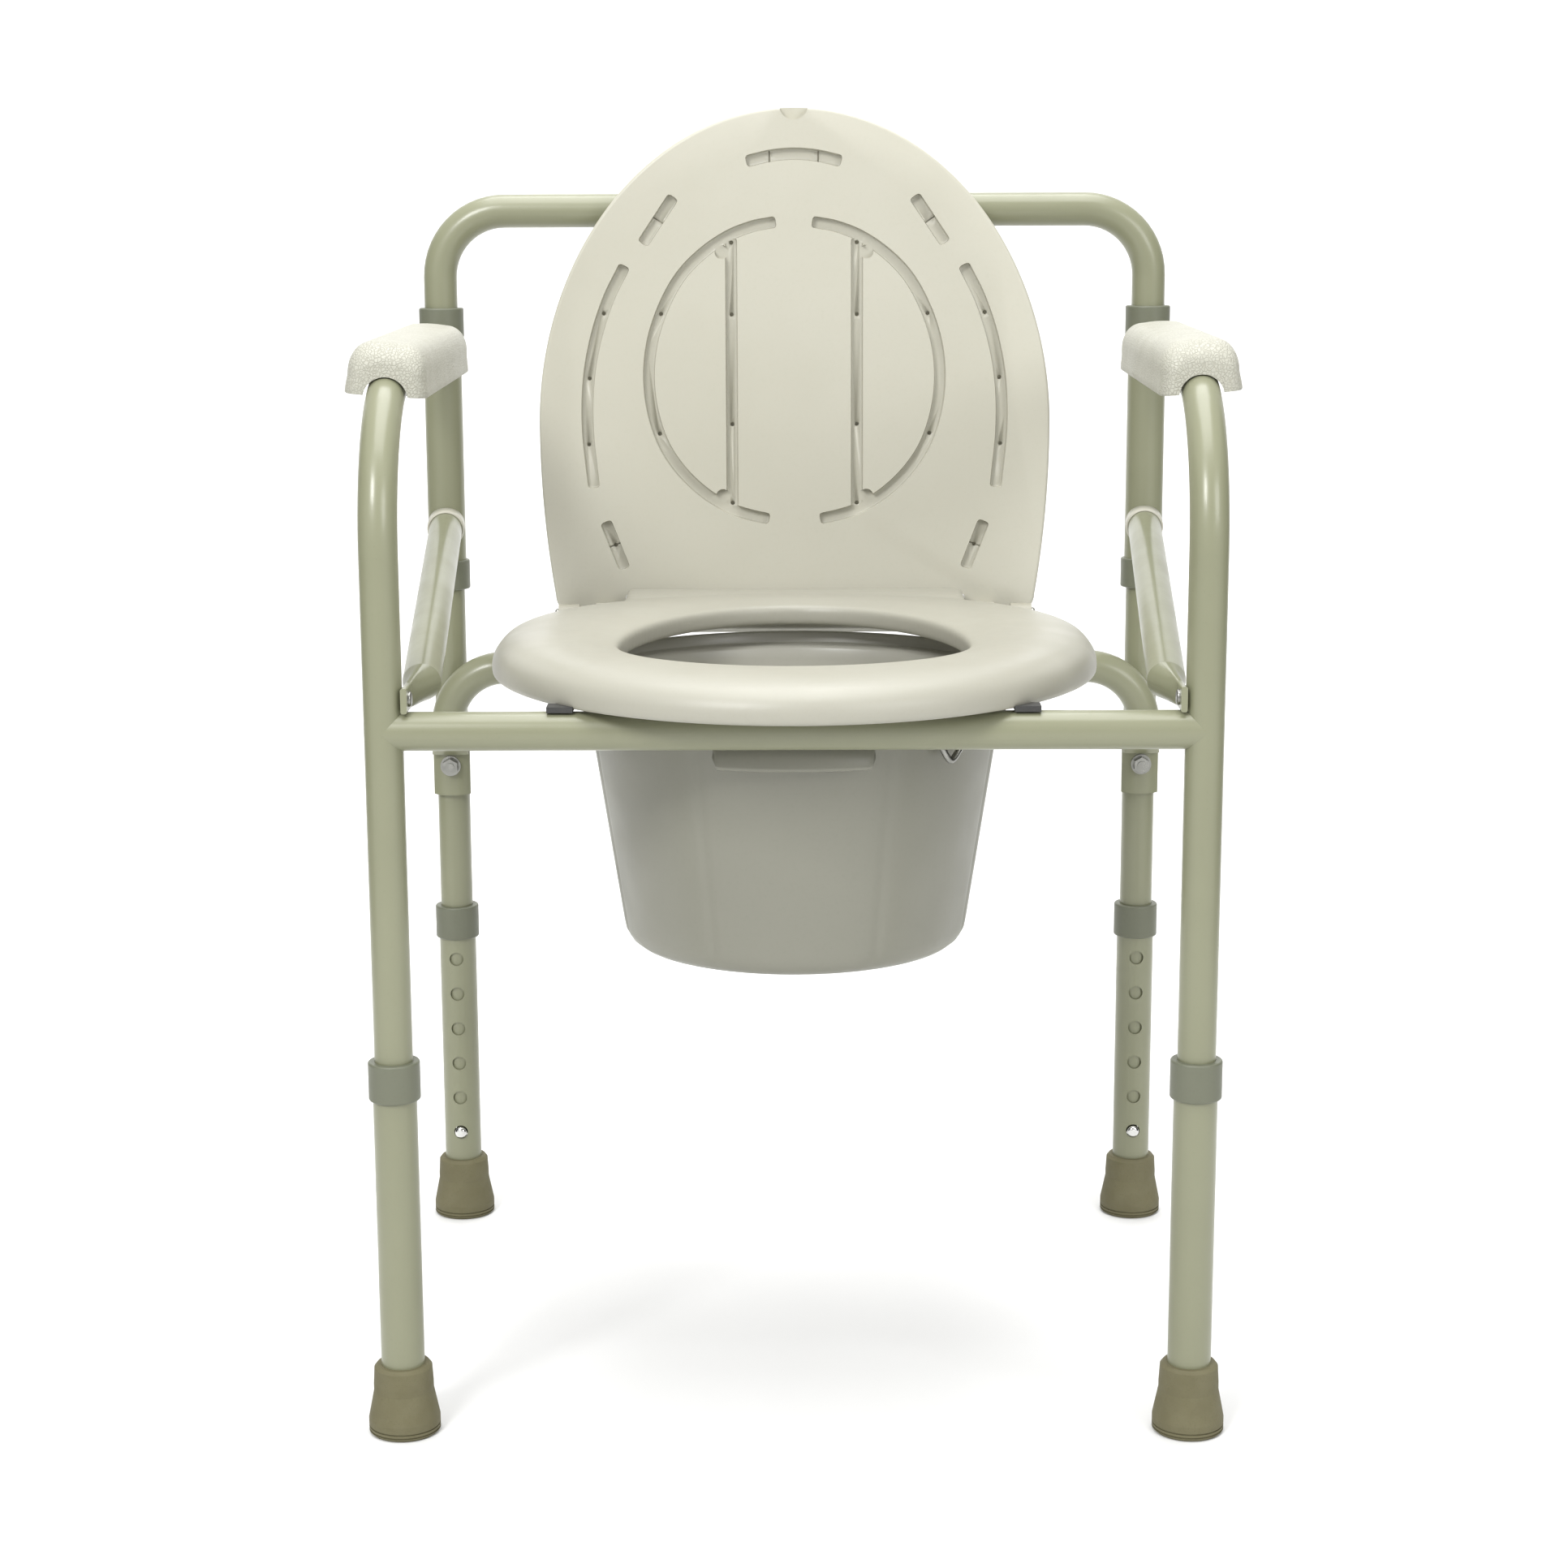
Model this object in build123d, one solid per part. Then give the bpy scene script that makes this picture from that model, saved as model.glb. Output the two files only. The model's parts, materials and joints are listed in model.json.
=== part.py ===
from build123d import *
import os
from math import atan2, degrees, hypot, sqrt

os.makedirs("parts", exist_ok=True)

# Knock-down steel commode chair, millimetres, floor at Z = 0, front towards -Y.

# Tubing
tube_d = 22.2
tube_wall = 1.2
sleeve_d = 25.4
sleeve_wall = 1.25
sleeve_bore = sleeve_d - 2 * sleeve_wall

# Frame plan
front_x = 231.5
rear_x = 239.0
front_y = -170.0
rear_y = 210.0

# Frame heights
arm_z = 610.0
arm_bend = 90.0
crossbar_z = 420.0
back_bar_z = 706.0
back_bar_bend = 44.0
rail_rear_z = 497.0
rail_front_z = 438.5
upright_bottom_z = 455.0
upright_top_z = 636.0
bow_z = 399.0
bow_bend = 40.0
bow_y = rear_y - tube_d - 0.4
bow_bolt_z = 329.0

# Adjustable legs
inner_end_z = 45.0
lowest_hole_z = 62.8
hole_pitch = 25.4
hole_count = 6
hole_d = 9.6
sleeve_bottom_z = 7.0
sleeve_top_z = 221.0
collar_d = 30.0
collar_bottom_z = 204.0
collar_top_z = 227.0
foot_d = 42.0
foot_top_d = 34.0
foot_h = 42.0

# Snap buttons
button_d = 8.2
button_stand = 3.0
spring_t = 0.7
spring_w = 8.0
spring_fold_z = 116.0

# Seat and lid
pivot_y = 152.0
pivot_z = 440.0
seat_bottom_z = 432.6
seat_top_z = 456.0
seat_half_w = 184.0
seat_front_y = -230.5
seat_rear_y = 172.0
block_half_w = 112.5
block_bottom_z = 432.6
block_top_z = 457.0
opening_y = -17.0
lid_under_z = 457.6
lid_t = 14.2
lid_half_w = 171.0
lid_length = 334.0
lid_lean = 92.5
recess_half_w = 118.0
recess_reach = 17.0

# Bucket
bucket_y = -17.0
bucket_base_z = 262.0
bucket_base_r = 105.0
bucket_top_r = 127.5
bucket_wall = 2.4
bucket_flange_r = 141.0
bucket_flange_z = 425.4
bucket_skirt_z = 418.7
bail_r = 133.0
bail_z = 400.0
bail_d = 4.0
bail_tip = 6.0
rod_x = 139.5
rod_d = 8.0


def save(name, *solids):
    shape = solids[0] if len(solids) == 1 else Compound(children=list(solids))
    shape.label = name
    export_step(shape, f"parts/{name}.step")


def swept(path, diameter):
    start = Plane(origin=path @ 0, z_dir=path % 0)
    return sweep(start * Circle(diameter / 2), path=path)


def tube(path, diameter, wall):
    return swept(path, diameter) - swept(path, diameter - 2 * wall)


def rod(start, end, diameter):
    a = Vector(*start)
    b = Vector(*end)
    line = Plane(origin=a, z_dir=b - a)
    return extrude(line * Circle(diameter / 2), (b - a).length)


def ring(x, y, z0, z1, outer, inner):
    face = Pos(x, y, z0) * (Circle(outer / 2) - Circle(inner / 2))
    return extrude(face, z1 - z0)


def cylinder_z(x, y, z0, z1, diameter):
    return extrude(Pos(x, y, z0) * Circle(diameter / 2), z1 - z0)


def mirrored(solid):
    return mirror(solid, about=Plane.YZ)


def rounded_path(radius, *points):
    return FilletPolyline(*points, radius=radius)


# Arm and front leg: one J-shaped tube on each side
arm_end = (-rear_x, rear_y, arm_z)


def front_leg_arm():
    path = rounded_path(
        arm_bend,
        (-front_x, front_y, inner_end_z),
        (-front_x, front_y, arm_z),
        arm_end,
    )
    body = tube(path, tube_d, tube_wall)
    body -= cylinder_z(-rear_x, rear_y, 400, 800, sleeve_d)
    behind = Pos(-rear_x, rear_y + 50, arm_z) * Box(100, 100, 60)
    body -= behind
    # button hole, rail bolt hole and the two pad screw holes
    body -= rod((-front_x, front_y, lowest_hole_z), (-front_x, front_y + 20, lowest_hole_z), hole_d)
    body -= rod((-front_x, front_y, rail_front_z), (-front_x + 20, front_y, rail_front_z), 5.2)
    for y in pad_screw_y:
        x = arm_x(y)
        body -= rod((x, y, arm_z - 20), (x, y, arm_z + 20), 4.4)
    return largest(body)


def arm_x(y):
    return -front_x - (rear_x - front_x) * (y - front_y) / (rear_y - front_y)


def largest(shape):
    return max(shape.solids(), key=lambda s: s.volume)


pad_screw_y = (-72.0, 110.0)

# Crossbar between the front legs, coped to them
crossbar = tube(Line((-front_x, front_y, crossbar_z), (front_x, front_y, crossbar_z)), tube_d, tube_wall)
for side in (-1, 1):
    crossbar -= cylinder_z(side * front_x, front_y, 380, 460, tube_d)
crossbar = largest(crossbar)

left_leg_arm = front_leg_arm()

# Side rail: coped to the upright at the rear, crimped to a flat tongue at the front leg
rail_start = Vector(-rear_x, rear_y, rail_rear_z)
tongue_t = 3.6
tongue_h = 14.4
tongue_x = -front_x + tube_d / 2 + tongue_t / 2 + 0.05
rail_end = Vector(tongue_x + 5, front_y + 34, rail_front_z + 4)


def side_rail():
    direction = (rail_end - rail_start).normalized()
    body = tube(Line(rail_start, rail_end), tube_d, tube_wall)
    body -= cylinder_z(-rear_x, rear_y, 400, 600, sleeve_d)
    body -= Pos(-rear_x, rear_y + 50, rail_rear_z) * Box(100, 100, 80)
    body = largest(body)
    round_end = Plane(origin=rail_end, x_dir=(1, 0, 0), z_dir=direction) * Circle(tube_d / 2)
    flat_plane = Plane(origin=(tongue_x, front_y + 13, rail_front_z), x_dir=(1, 0, 0), z_dir=(0, -1, 0))
    flat_end = flat_plane * RectangleRounded(tongue_t, tongue_h, 1.2)
    body += loft([round_end, flat_end])
    body += extrude(flat_end, 22)
    body -= rod((tongue_x - 10, front_y, rail_front_z), (tongue_x + 10, front_y, rail_front_z), 5.2)
    return largest(body)


left_rail = side_rail()
left_leg_arm = largest(left_leg_arm - left_rail)

# Upright sleeve that takes the rear leg from below and the back bar from above
upright = ring(-rear_x, rear_y, upright_bottom_z, upright_top_z, sleeve_d, sleeve_bore)
back_hole_z = 600.0
upright -= rod((-rear_x, rear_y, back_hole_z), (-rear_x, rear_y + 20, back_hole_z), hole_d)


def cap_collar(z0, z1, sleeve_z, up):
    # a moulded collar that overlaps the sleeve and narrows onto the inner tube
    body = ring(-rear_x, rear_y, z0, z1, collar_d, tube_d + 0.12)
    if up:
        body -= cylinder_z(-rear_x, rear_y, z0 - 1, sleeve_z, sleeve_d)
    else:
        body -= cylinder_z(-rear_x, rear_y, sleeve_z, z1 + 1, sleeve_d)
    edges = body.edges().filter_by(GeomType.CIRCLE).filter_by(lambda e: abs(e.radius - collar_d / 2) < 0.01)
    return fillet(edges, 1.2)


top_collar = cap_collar(622.0, 642.0, upright_top_z, True)
lower_collar = cap_collar(451.0, 471.0, upright_bottom_z, False)

# Rear leg inner tube, fixed in the upright
rear_tube = ring(-rear_x, rear_y, inner_end_z, 548.0, tube_d, tube_d - 2 * tube_wall)
rear_tube -= rod((-rear_x, rear_y, lowest_hole_z), (-rear_x, rear_y - 20, lowest_hole_z), hole_d)
rear_tube -= rod((-rear_x, rear_y - 20, bow_bolt_z), (-rear_x, rear_y + 20, bow_bolt_z), 6.4)

# Rear bow that carries the seat, with crimped ends bolted to the rear legs
bow_path = rounded_path(
    bow_bend,
    (-rear_x, bow_y, 352),
    (-rear_x, bow_y, bow_z),
    (rear_x, bow_y, bow_z),
    (rear_x, bow_y, 352),
)
bow = tube(bow_path, tube_d, tube_wall)
saddle_w = 25.0
saddle_z = 308.0


def bow_end():
    round_end = Pos(-rear_x, bow_y, 352) * Circle(tube_d / 2)
    flat_end = Pos(-rear_x, rear_y - 14.6, 337) * Ellipse(saddle_w / 2, 3.0)
    body = loft([flat_end, round_end])
    plate = ring(-rear_x, rear_y, saddle_z, 340, 2 * 15.2, tube_d + 0.1)
    plate &= Pos(-rear_x, rear_y - 20, 325) * Box(saddle_w, 30, 40)
    body += plate
    body -= cylinder_z(-rear_x, rear_y, 300, 360, tube_d + 0.1)
    body -= rod((-rear_x, rear_y - 30, bow_bolt_z), (-rear_x, rear_y, bow_bolt_z), 6.4)
    return body


left_bow_end = bow_end()
bow += left_bow_end
bow += mirrored(left_bow_end)
bow = largest(bow)

# Through bolts of the bow, with a washer and nut at the front and the head at the back
face_y = rear_y - 15.2


def hexagon(across_flats):
    return RegularPolygon(across_flats / sqrt(3), 6)


def bow_bolt():
    shank = rod((-rear_x, face_y - 6.5, bow_bolt_z), (-rear_x, rear_y + 11.2, bow_bolt_z), 6.0)
    head_plane = Plane(origin=(-rear_x, rear_y + 11.2, bow_bolt_z), z_dir=(0, 1, 0))
    head = extrude(head_plane * hexagon(10), 4.0)
    return shank + head


def bow_washer():
    plane = Plane(origin=(-rear_x, face_y, bow_bolt_z), z_dir=(0, -1, 0))
    return extrude(plane * (Circle(7.0) - Circle(3.1)), 1.2)


def bow_nut():
    plane = Plane(origin=(-rear_x, face_y - 1.2, bow_bolt_z), z_dir=(0, -1, 0))
    return extrude(plane * (hexagon(10) - Circle(3.0)), 4.6)


# Low-headed bolts that hold the rail tongues to threaded inserts in the front legs
def tongue_bolt():
    inner = tongue_x + tongue_t / 2
    shank = rod((inner - tongue_t - 6, front_y, rail_front_z), (inner, front_y, rail_front_z), 5.0)
    head_plane = Plane(origin=(inner, front_y, rail_front_z), z_dir=(1, 0, 0))
    return shank + revolve_dome(head_plane, 4.4, 1.8)


def revolve_dome(plane, radius, height):
    disc = extrude(plane * Circle(radius), height)
    outer_edge = disc.edges().filter_by(GeomType.CIRCLE).sort_by(lambda e: (e.center() - plane.origin).length)[-1]
    return fillet(outer_edge, height * 0.7)


# Arm pad: a moulded shell, open underneath, with an arch over the tube at the front
pad_front_y = front_y + 53
pad_rear_y = rear_y - 57
pad_w = 47.5
pad_top_z = 634.0
pad_bottom_z = 604.0
pad_wall = 3.0


def arm_pad():
    length = pad_rear_y - pad_front_y
    middle = (pad_front_y + pad_rear_y) / 2
    turn = degrees(atan2(rear_x - front_x, rear_y - front_y))
    outline = RectangleRounded(pad_w, length, 11)
    shell = extrude(outline, pad_top_z - pad_bottom_z)
    shell = fillet(shell.faces().sort_by(Axis.Z)[-1].edges(), 8)
    cavity_outline = RectangleRounded(pad_w - 2 * pad_wall, length - 2 * pad_wall, 8)
    cavity = extrude(cavity_outline, 17.3)
    shell -= cavity
    # two ribs saddle the tube
    screw_places = [y - middle for y in pad_screw_y]
    for y in screw_places:
        rib = Pos(0, y, 0) * Box(pad_w - 2 * pad_wall + 1, 16, 30, align=(Align.CENTER, Align.CENTER, Align.MIN))
        rib &= Pos(0, 0, 4) * Box(pad_w - 2, length - 4, 20, align=(Align.CENTER, Align.CENTER, Align.MIN))
        shell += rib
    groove_z = arm_z - pad_bottom_z
    groove_line = Line((0, -length / 2 - 5, groove_z), (0, length / 2 + 5, groove_z))
    groove = swept(groove_line, tube_d + 0.1)
    slot = Pos(0, 0, -20) * Box(tube_d + 0.1, length + 20, 20 + groove_z, align=(Align.CENTER, Align.CENTER, Align.MIN))
    shell -= groove
    shell -= slot
    bend_room = Pos(0, -length / 2 + 20, -5) * Box(tube_d + 2.4, 62, 12, align=(Align.CENTER, Align.CENTER, Align.MIN))
    arch_line = Line((0, -length / 2 - 5, groove_z), (0, -length / 2 + 40, groove_z))
    shell -= swept(arch_line, tube_d + 2.4)
    shell -= bend_room
    for y in screw_places:
        shell -= Pos(0, y, 0) * Cylinder(1.8, 25.5, align=(Align.CENTER, Align.CENTER, Align.MIN))
    shell = largest(shell)
    return Pos(arm_x(middle), middle, pad_bottom_z) * Rot(0, 0, turn) * shell


def pad_screw(y):
    # pan head under the tube, shank up through the tube into the pad
    x = arm_x(y)
    low = arm_z - tube_d / 2
    shank = cylinder_z(x, y, low - 0.6, arm_z + tube_d / 2 + 7.5, 3.2)
    head = revolve_dome(Plane(origin=(x, y, low - 0.4), x_dir=(1, 0, 0), z_dir=(0, 0, -1)), 3.8, 2.4)
    return shank + head


# Sliding leg sleeves with six holes, collar, rubber foot with a steel disc
def leg_sleeve(x, y, face):
    body = ring(x, y, sleeve_bottom_z, sleeve_top_z, sleeve_d, sleeve_bore)
    for n in range(hole_count):
        z = lowest_hole_z + n * hole_pitch
        body -= rod((x, y, z), (x, y + face * 20, z), hole_d)
    return body


def leg_collar(x, y):
    body = ring(x, y, collar_bottom_z, collar_top_z, collar_d, tube_d + 0.12)
    body -= cylinder_z(x, y, collar_bottom_z - 1, sleeve_top_z, sleeve_d)
    edges = body.edges().filter_by(GeomType.CIRCLE).filter_by(lambda e: abs(e.radius - collar_d / 2) < 0.01)
    return fillet(edges, 1.2)


def leg_foot(x, y):
    profile = Polyline(
        (0, 0),
        (foot_d / 2 - 1.5, 0),
        (foot_d / 2, 1.5),
        (foot_d / 2, 9),
        (foot_top_d / 2 + 0.6, 26),
        (foot_top_d / 2 + 0.6, 30),
        (foot_top_d / 2, foot_h - 2),
        (foot_top_d / 2 - 1.6, foot_h),
        (0, foot_h),
        close=True,
    )
    section = make_face(Plane.XZ * profile)
    body = revolve(section, Axis.Z)
    body -= Pos(0, 0, sleeve_bottom_z - 1.5) * Cylinder(sleeve_d / 2, 60, align=(Align.CENTER, Align.CENTER, Align.MIN))
    for z in (1.9, 4.1):
        groove = Pos(0, 0, z) * (Circle(foot_d / 2 + 1) - Circle(foot_d / 2 - 0.7))
        body -= extrude(groove, 0.9)
    return Pos(x, y, 0) * body


def foot_disc(x, y):
    return cylinder_z(x, y, sleeve_bottom_z - 1.5, sleeve_bottom_z, sleeve_d - 0.3)


# Snap button: a domed pin on a leaf that swings about the fold of a V spring
def snap_button(x, y, z, face):
    inner_face = tube_d / 2 - tube_wall
    leaf_y = inner_face - 1.6
    tip_y = sleeve_d / 2 + button_stand
    pin = extrude(Plane(origin=(0, leaf_y, 0), z_dir=(0, 1, 0)) * Circle(button_d / 2), tip_y - leaf_y)
    tip = pin.edges().filter_by(GeomType.CIRCLE).sort_by(Axis.Y)[-1]
    pin = fillet(tip, 2.4)
    pin = Pos(0, 0, z) * pin
    return place(pin, x, y, face)


def place(solid, x, y, face):
    if face < 0:
        solid = Rot(0, 0, 180) * solid
    return Pos(x, y, 0) * solid


def spring_leaf(x, y, z, fold, face, moving):
    inner_face = tube_d / 2 - tube_wall
    outer = inner_face - 1.6
    along = 1 if fold > z else -1
    if moving:
        near = (outer, z - along * 7)
        far = (1.6, fold - along * 1.5)
    else:
        near = (-outer + 0.9, z + along * 10)
        far = (-1.6, fold - along * 1.5)
    path = Polyline((0, near[0], near[1]), (0, far[0], far[1]))
    direction = Vector(0, far[0] - near[0], far[1] - near[1])
    plane = Plane(origin=(0, near[0], near[1]), x_dir=(1, 0, 0), z_dir=direction)
    leaf = extrude(plane * Rectangle(spring_w, spring_t), direction.length)
    return place(leaf, x, y, face)


legs = {
    "front_left": (-front_x, front_y, 1),
    "front_right": (front_x, front_y, 1),
    "rear_left": (-rear_x, rear_y, -1),
    "rear_right": (rear_x, rear_y, -1),
}

for leg, (x, y, face) in legs.items():
    save(f"{leg}_leg_sleeve", leg_sleeve(x, y, face))
    save(f"{leg}_leg_collar", leg_collar(x, y))
    save(f"{leg}_foot", leg_foot(x, y))
    save(f"{leg}_foot_disc", foot_disc(x, y))
    button = snap_button(x, y, lowest_hole_z, face)
    button += spring_leaf(x, y, lowest_hole_z, spring_fold_z, face, True)
    save(f"{leg}_snap_button", button)

fixed_leaves = []
for x, y, face in legs.values():
    leaf = spring_leaf(x, y, lowest_hole_z, spring_fold_z, face, False)
    fixed_leaves.append(leaf)
save("leg_spring_backs", *fixed_leaves)

# Back bar with its own two snap buttons
back_end_z = 566.0
back_path = rounded_path(
    back_bar_bend,
    (-rear_x, rear_y, back_end_z),
    (-rear_x, rear_y, back_bar_z),
    (rear_x, rear_y, back_bar_z),
    (rear_x, rear_y, back_end_z),
)
back_bar = tube(back_path, tube_d, tube_wall)
for side in (-1, 1):
    x = side * rear_x
    back_bar -= rod((x, rear_y, back_hole_z), (x, rear_y + 20, back_hole_z), hole_d)
save("back_bar", back_bar)
for side, name in ((-1, "left"), (1, "right")):
    x = side * rear_x
    button = snap_button(x, rear_y, back_hole_z, 1)
    button += spring_leaf(x, rear_y, back_hole_z, back_hole_z + 50, 1, True)
    save(f"back_{name}_snap_button", button)
back_leaves = []
for side in (-1, 1):
    back_leaves.append(spring_leaf(side * rear_x, rear_y, back_hole_z, back_hole_z + 50, 1, False))
save("back_spring_backs", *back_leaves)

save("front_leg_arm_left", left_leg_arm)
save("front_leg_arm_right", mirrored(left_leg_arm))
save("front_crossbar", crossbar)
save("side_rail_left", left_rail)
save("side_rail_right", mirrored(left_rail))
save("rear_upright_left", upright)
save("rear_upright_right", mirrored(upright))
save("upright_top_collars", top_collar, mirrored(top_collar))
save("upright_lower_collars", lower_collar, mirrored(lower_collar))
save("rear_leg_tube_left", rear_tube)
save("rear_leg_tube_right", mirrored(rear_tube))
save("rear_bow", bow)
save("bow_bolts", bow_bolt(), mirrored(bow_bolt()))
save("bow_washers", bow_washer(), mirrored(bow_washer()))
save("bow_nuts", bow_nut(), mirrored(bow_nut()))
save("rail_bolts", tongue_bolt(), mirrored(tongue_bolt()))
left_pad = arm_pad()
save("arm_pad_left", left_pad)
save("arm_pad_right", mirrored(left_pad))
pad_screws = [pad_screw(y) for y in pad_screw_y]
save("arm_pad_screws", *pad_screws, *[mirrored(s) for s in pad_screws])

# Rods that carry the bucket between the crossbar and the bow
rod_z = bow_z + tube_d / 2 + rod_d / 2
rod_front_y = front_y + sqrt((tube_d / 2) ** 2 - (crossbar_z - rod_z) ** 2) - 1
support = rod((-rod_x, rod_front_y, rod_z), (-rod_x, bow_y + 4, rod_z), rod_d)
support -= swept(Line((-rod_x - 20, front_y, crossbar_z), (-rod_x + 20, front_y, crossbar_z)), tube_d)
support -= swept(Line((-rod_x - 20, bow_y, bow_z), (-rod_x + 20, bow_y, bow_z)), tube_d)
support = largest(support)
save("bucket_support_rods", support, mirrored(support))


# Seat: thick rounded ring with a raised hinge block at the back
def egg(front, rear, half_width, widest_y):
    # two half ellipses that meet at the widest point
    front_half = Pos(0, widest_y) * Ellipse(half_width, widest_y - front)
    front_half &= Pos(0, front) * Rectangle(800, 2 * (widest_y - front))
    rear_half = Pos(0, widest_y) * Ellipse(half_width, rear - widest_y)
    rear_half &= Pos(0, rear) * Rectangle(800, 2 * (rear - widest_y))
    return front_half + rear_half


seat_opening = egg(-146, 106, 106, -62)


def seat():
    ring_face = egg(seat_front_y, 151, seat_half_w, -22) - seat_opening
    body = extrude(Pos(0, 0, seat_bottom_z) * ring_face, seat_top_z - seat_bottom_z)
    return fillet(body.faces().sort_by(Axis.Z)[-1].edges(), 11)


block_front_y = 108.0
block_h = block_top_z - block_bottom_z
block = Pos(0, (block_front_y + seat_rear_y) / 2, (block_bottom_z + block_top_z) / 2) * Box(
    2 * block_half_w, seat_rear_y - block_front_y, block_h
)
block -= Pos(0, block_front_y + 14, block_top_z) * Box(400, 28.5, 2.4)
block = fillet(block.edges().filter_by(Axis.X).group_by(Axis.Y)[-1].sort_by(Axis.Z)[-1], 13)
block = fillet(block.edges().filter_by(Axis.X).group_by(Axis.Y)[-1].sort_by(Axis.Z)[0], 6)
block = fillet(block.edges().filter_by(Axis.Z).group_by(Axis.Y)[-1], 1.5)
seat_body = seat() + block
for side in (-1, 1):
    seat_body -= rod((side * 97, pivot_y, pivot_z), (side * 130, pivot_y, pivot_z), 6.2)
seat_body -= extrude(Pos(0, 0, 400) * seat_opening, 100)

# Rubber bumpers set into pockets above the crossbar
bumper_x = 131.5
bumper_z0 = 431.35
bumper_z1 = 434.6
pocket_h = bumper_z1 - seat_bottom_z
for side in (-1, 1):
    pocket = Box(15.0, 13.0, 2 * pocket_h)
    seat_body -= Pos(side * bumper_x, front_y, seat_bottom_z) * pocket
seat_body = largest(seat_body)
save("seat", seat_body)

bumper_h = bumper_z1 - bumper_z0
bumper = Pos(-bumper_x, front_y, (bumper_z0 + bumper_z1) / 2) * Box(14.8, 12.8, bumper_h)
save("seat_bumpers", bumper, mirrored(bumper))

# Hinge brackets that grip the bow, and the pins
bracket_x0 = 144.2
bracket_x1 = 158.2


def hinge_bracket():
    plane = Plane(origin=(-bracket_x1, 0, 0), x_dir=(0, 1, 0), z_dir=(1, 0, 0))
    width = bracket_x1 - bracket_x0
    grip = Pos(bow_y, bow_z) * Circle(15.0)
    boss = Pos(pivot_y, pivot_z) * Circle(7.5)
    angle = degrees(atan2(pivot_z - bow_z, pivot_y - bow_y))
    reach = hypot(pivot_z - bow_z, pivot_y - bow_y)
    arm = Pos((bow_y + pivot_y) / 2, (bow_z + pivot_z) / 2) * Rot(0, 0, angle) * Rectangle(reach, 11)
    gap = Pos(bow_y, bow_z) * Rot(0, 0, angle + 180) * Pos(20, 0) * Rectangle(40, 12)
    profile = grip + boss + arm
    profile -= Pos(bow_y, bow_z) * Circle(tube_d / 2 + 0.05)
    profile -= Pos(pivot_y, pivot_z) * Circle(3.05)
    profile -= gap
    return extrude(plane * profile, width)


bracket = hinge_bracket()
save("seat_hinge_brackets", bracket, mirrored(bracket))

pin = rod((-99, pivot_y, pivot_z), (-bracket_x1 - 0.2, pivot_y, pivot_z), 6.0)
pin += revolve_dome(Plane(origin=(-bracket_x1 - 0.2, pivot_y, pivot_z), z_dir=(-1, 0, 0)), 4.6, 2.4)
save("seat_hinge_pins", pin, mirrored(pin))


# Lid, drawn closed and then swung open
def lid():
    rear_end = pivot_y + 2
    front_end = pivot_y - lid_length
    outline = egg(front_end, pivot_y + 225, lid_half_w, pivot_y - 125)
    outline -= Pos(0, rear_end + 200) * Rectangle(600, 400)
    outline = fillet(outline.vertices().group_by(Axis.Y)[-1], 14)
    body = extrude(Pos(0, 0, lid_under_z) * outline, lid_t)
    body = fillet(body.faces().sort_by(Axis.Z)[-1].edges(), 5)
    body = fillet(body.faces().sort_by(Axis.Z)[0].edges(), 2.5)
    body -= Pos(0, rear_end, lid_under_z) * Box(2 * recess_half_w, 2 * (rear_end - pivot_y + recess_reach), 60)
    body -= Pos(0, front_end, lid_under_z) * Cylinder(9, 60)
    body = largest(body)
    for sign in (-1, 1):
        lug = Pos(sign * 127, pivot_y, pivot_z) * Rot(0, 90, 0) * Cylinder(7.5, 15)
        web = Pos(sign * 127, pivot_y - 6.5, (pivot_z + lid_under_z + 4) / 2) * Box(
            15, 14, lid_under_z + 4 - pivot_z
        )
        body += lug + web
        body -= rod((sign * 110, pivot_y, pivot_z), (sign * 136, pivot_y, pivot_z), 6.12)
    return largest(body)


def lid_grooves(body):
    # blow-moulded lid: shallow tack-off channels pressed into the underside
    depth = 3.0
    z = lid_under_z
    y0 = pivot_y

    def channel(points, width=8.0, radius=None):
        line = FilletPolyline(*points, radius=radius) if radius else Polyline(*points)
        ends = [Pos(*points[0]) * Circle(width / 2), Pos(*points[-1]) * Circle(width / 2)]
        strip = trace(line, width)
        for end in ends:
            strip += end
        return extrude(Pos(0, 0, z) * strip, depth)

    channels = []
    channels.append(channel([(-31, y0 - 304), (-14, y0 - 309), (14, y0 - 309), (31, y0 - 304)], 7.0, 20))
    for sign in (-1, 1):
        channels.append(channel([(sign * 84, y0 - 271), (sign * 99, y0 - 247)], 7.0))
        channels.append(
            channel([(sign * 115, y0 - 225), (sign * 137, y0 - 175), (sign * 137, y0 - 135), (sign * 132, y0 - 80)], 7.0, 60)
        )
        channels.append(channel([(sign * 124, y0 - 54), (sign * 112, y0 - 26)], 7.0))
        channels.append(
            channel(
                [
                    (sign * 11, y0 - 257),
                    (sign * 48, y0 - 252),
                    (sign * 92, y0 - 200),
                    (sign * 95, y0 - 145),
                    (sign * 80, y0 - 88),
                    (sign * 58, y0 - 68),
                    (sign * 17, y0 - 59),
                ],
                7.5,
                14,
            )
        )
        channels.append(channel([(sign * 42, y0 - 243), (sign * 42, y0 - 72)], 7.5))
    for piece in channels:
        body -= piece
    for sign in (-1, 1):
        for x, s in ((43, 243), (41, 196), (41, 122), (40, 70), (86, 198), (87, 117), (124, 196), (134, 152), (135, 108)):
            body -= Pos(sign * x, y0 - s, z) * Cylinder(1.5, 12, align=(Align.CENTER, Align.CENTER, Align.MIN))
    return largest(body)


closed_lid = lid_grooves(lid())
open_lid = closed_lid.rotate(Axis((0, pivot_y, pivot_z), (1, 0, 0)), -lid_lean)
save("lid", open_lid)


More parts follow.
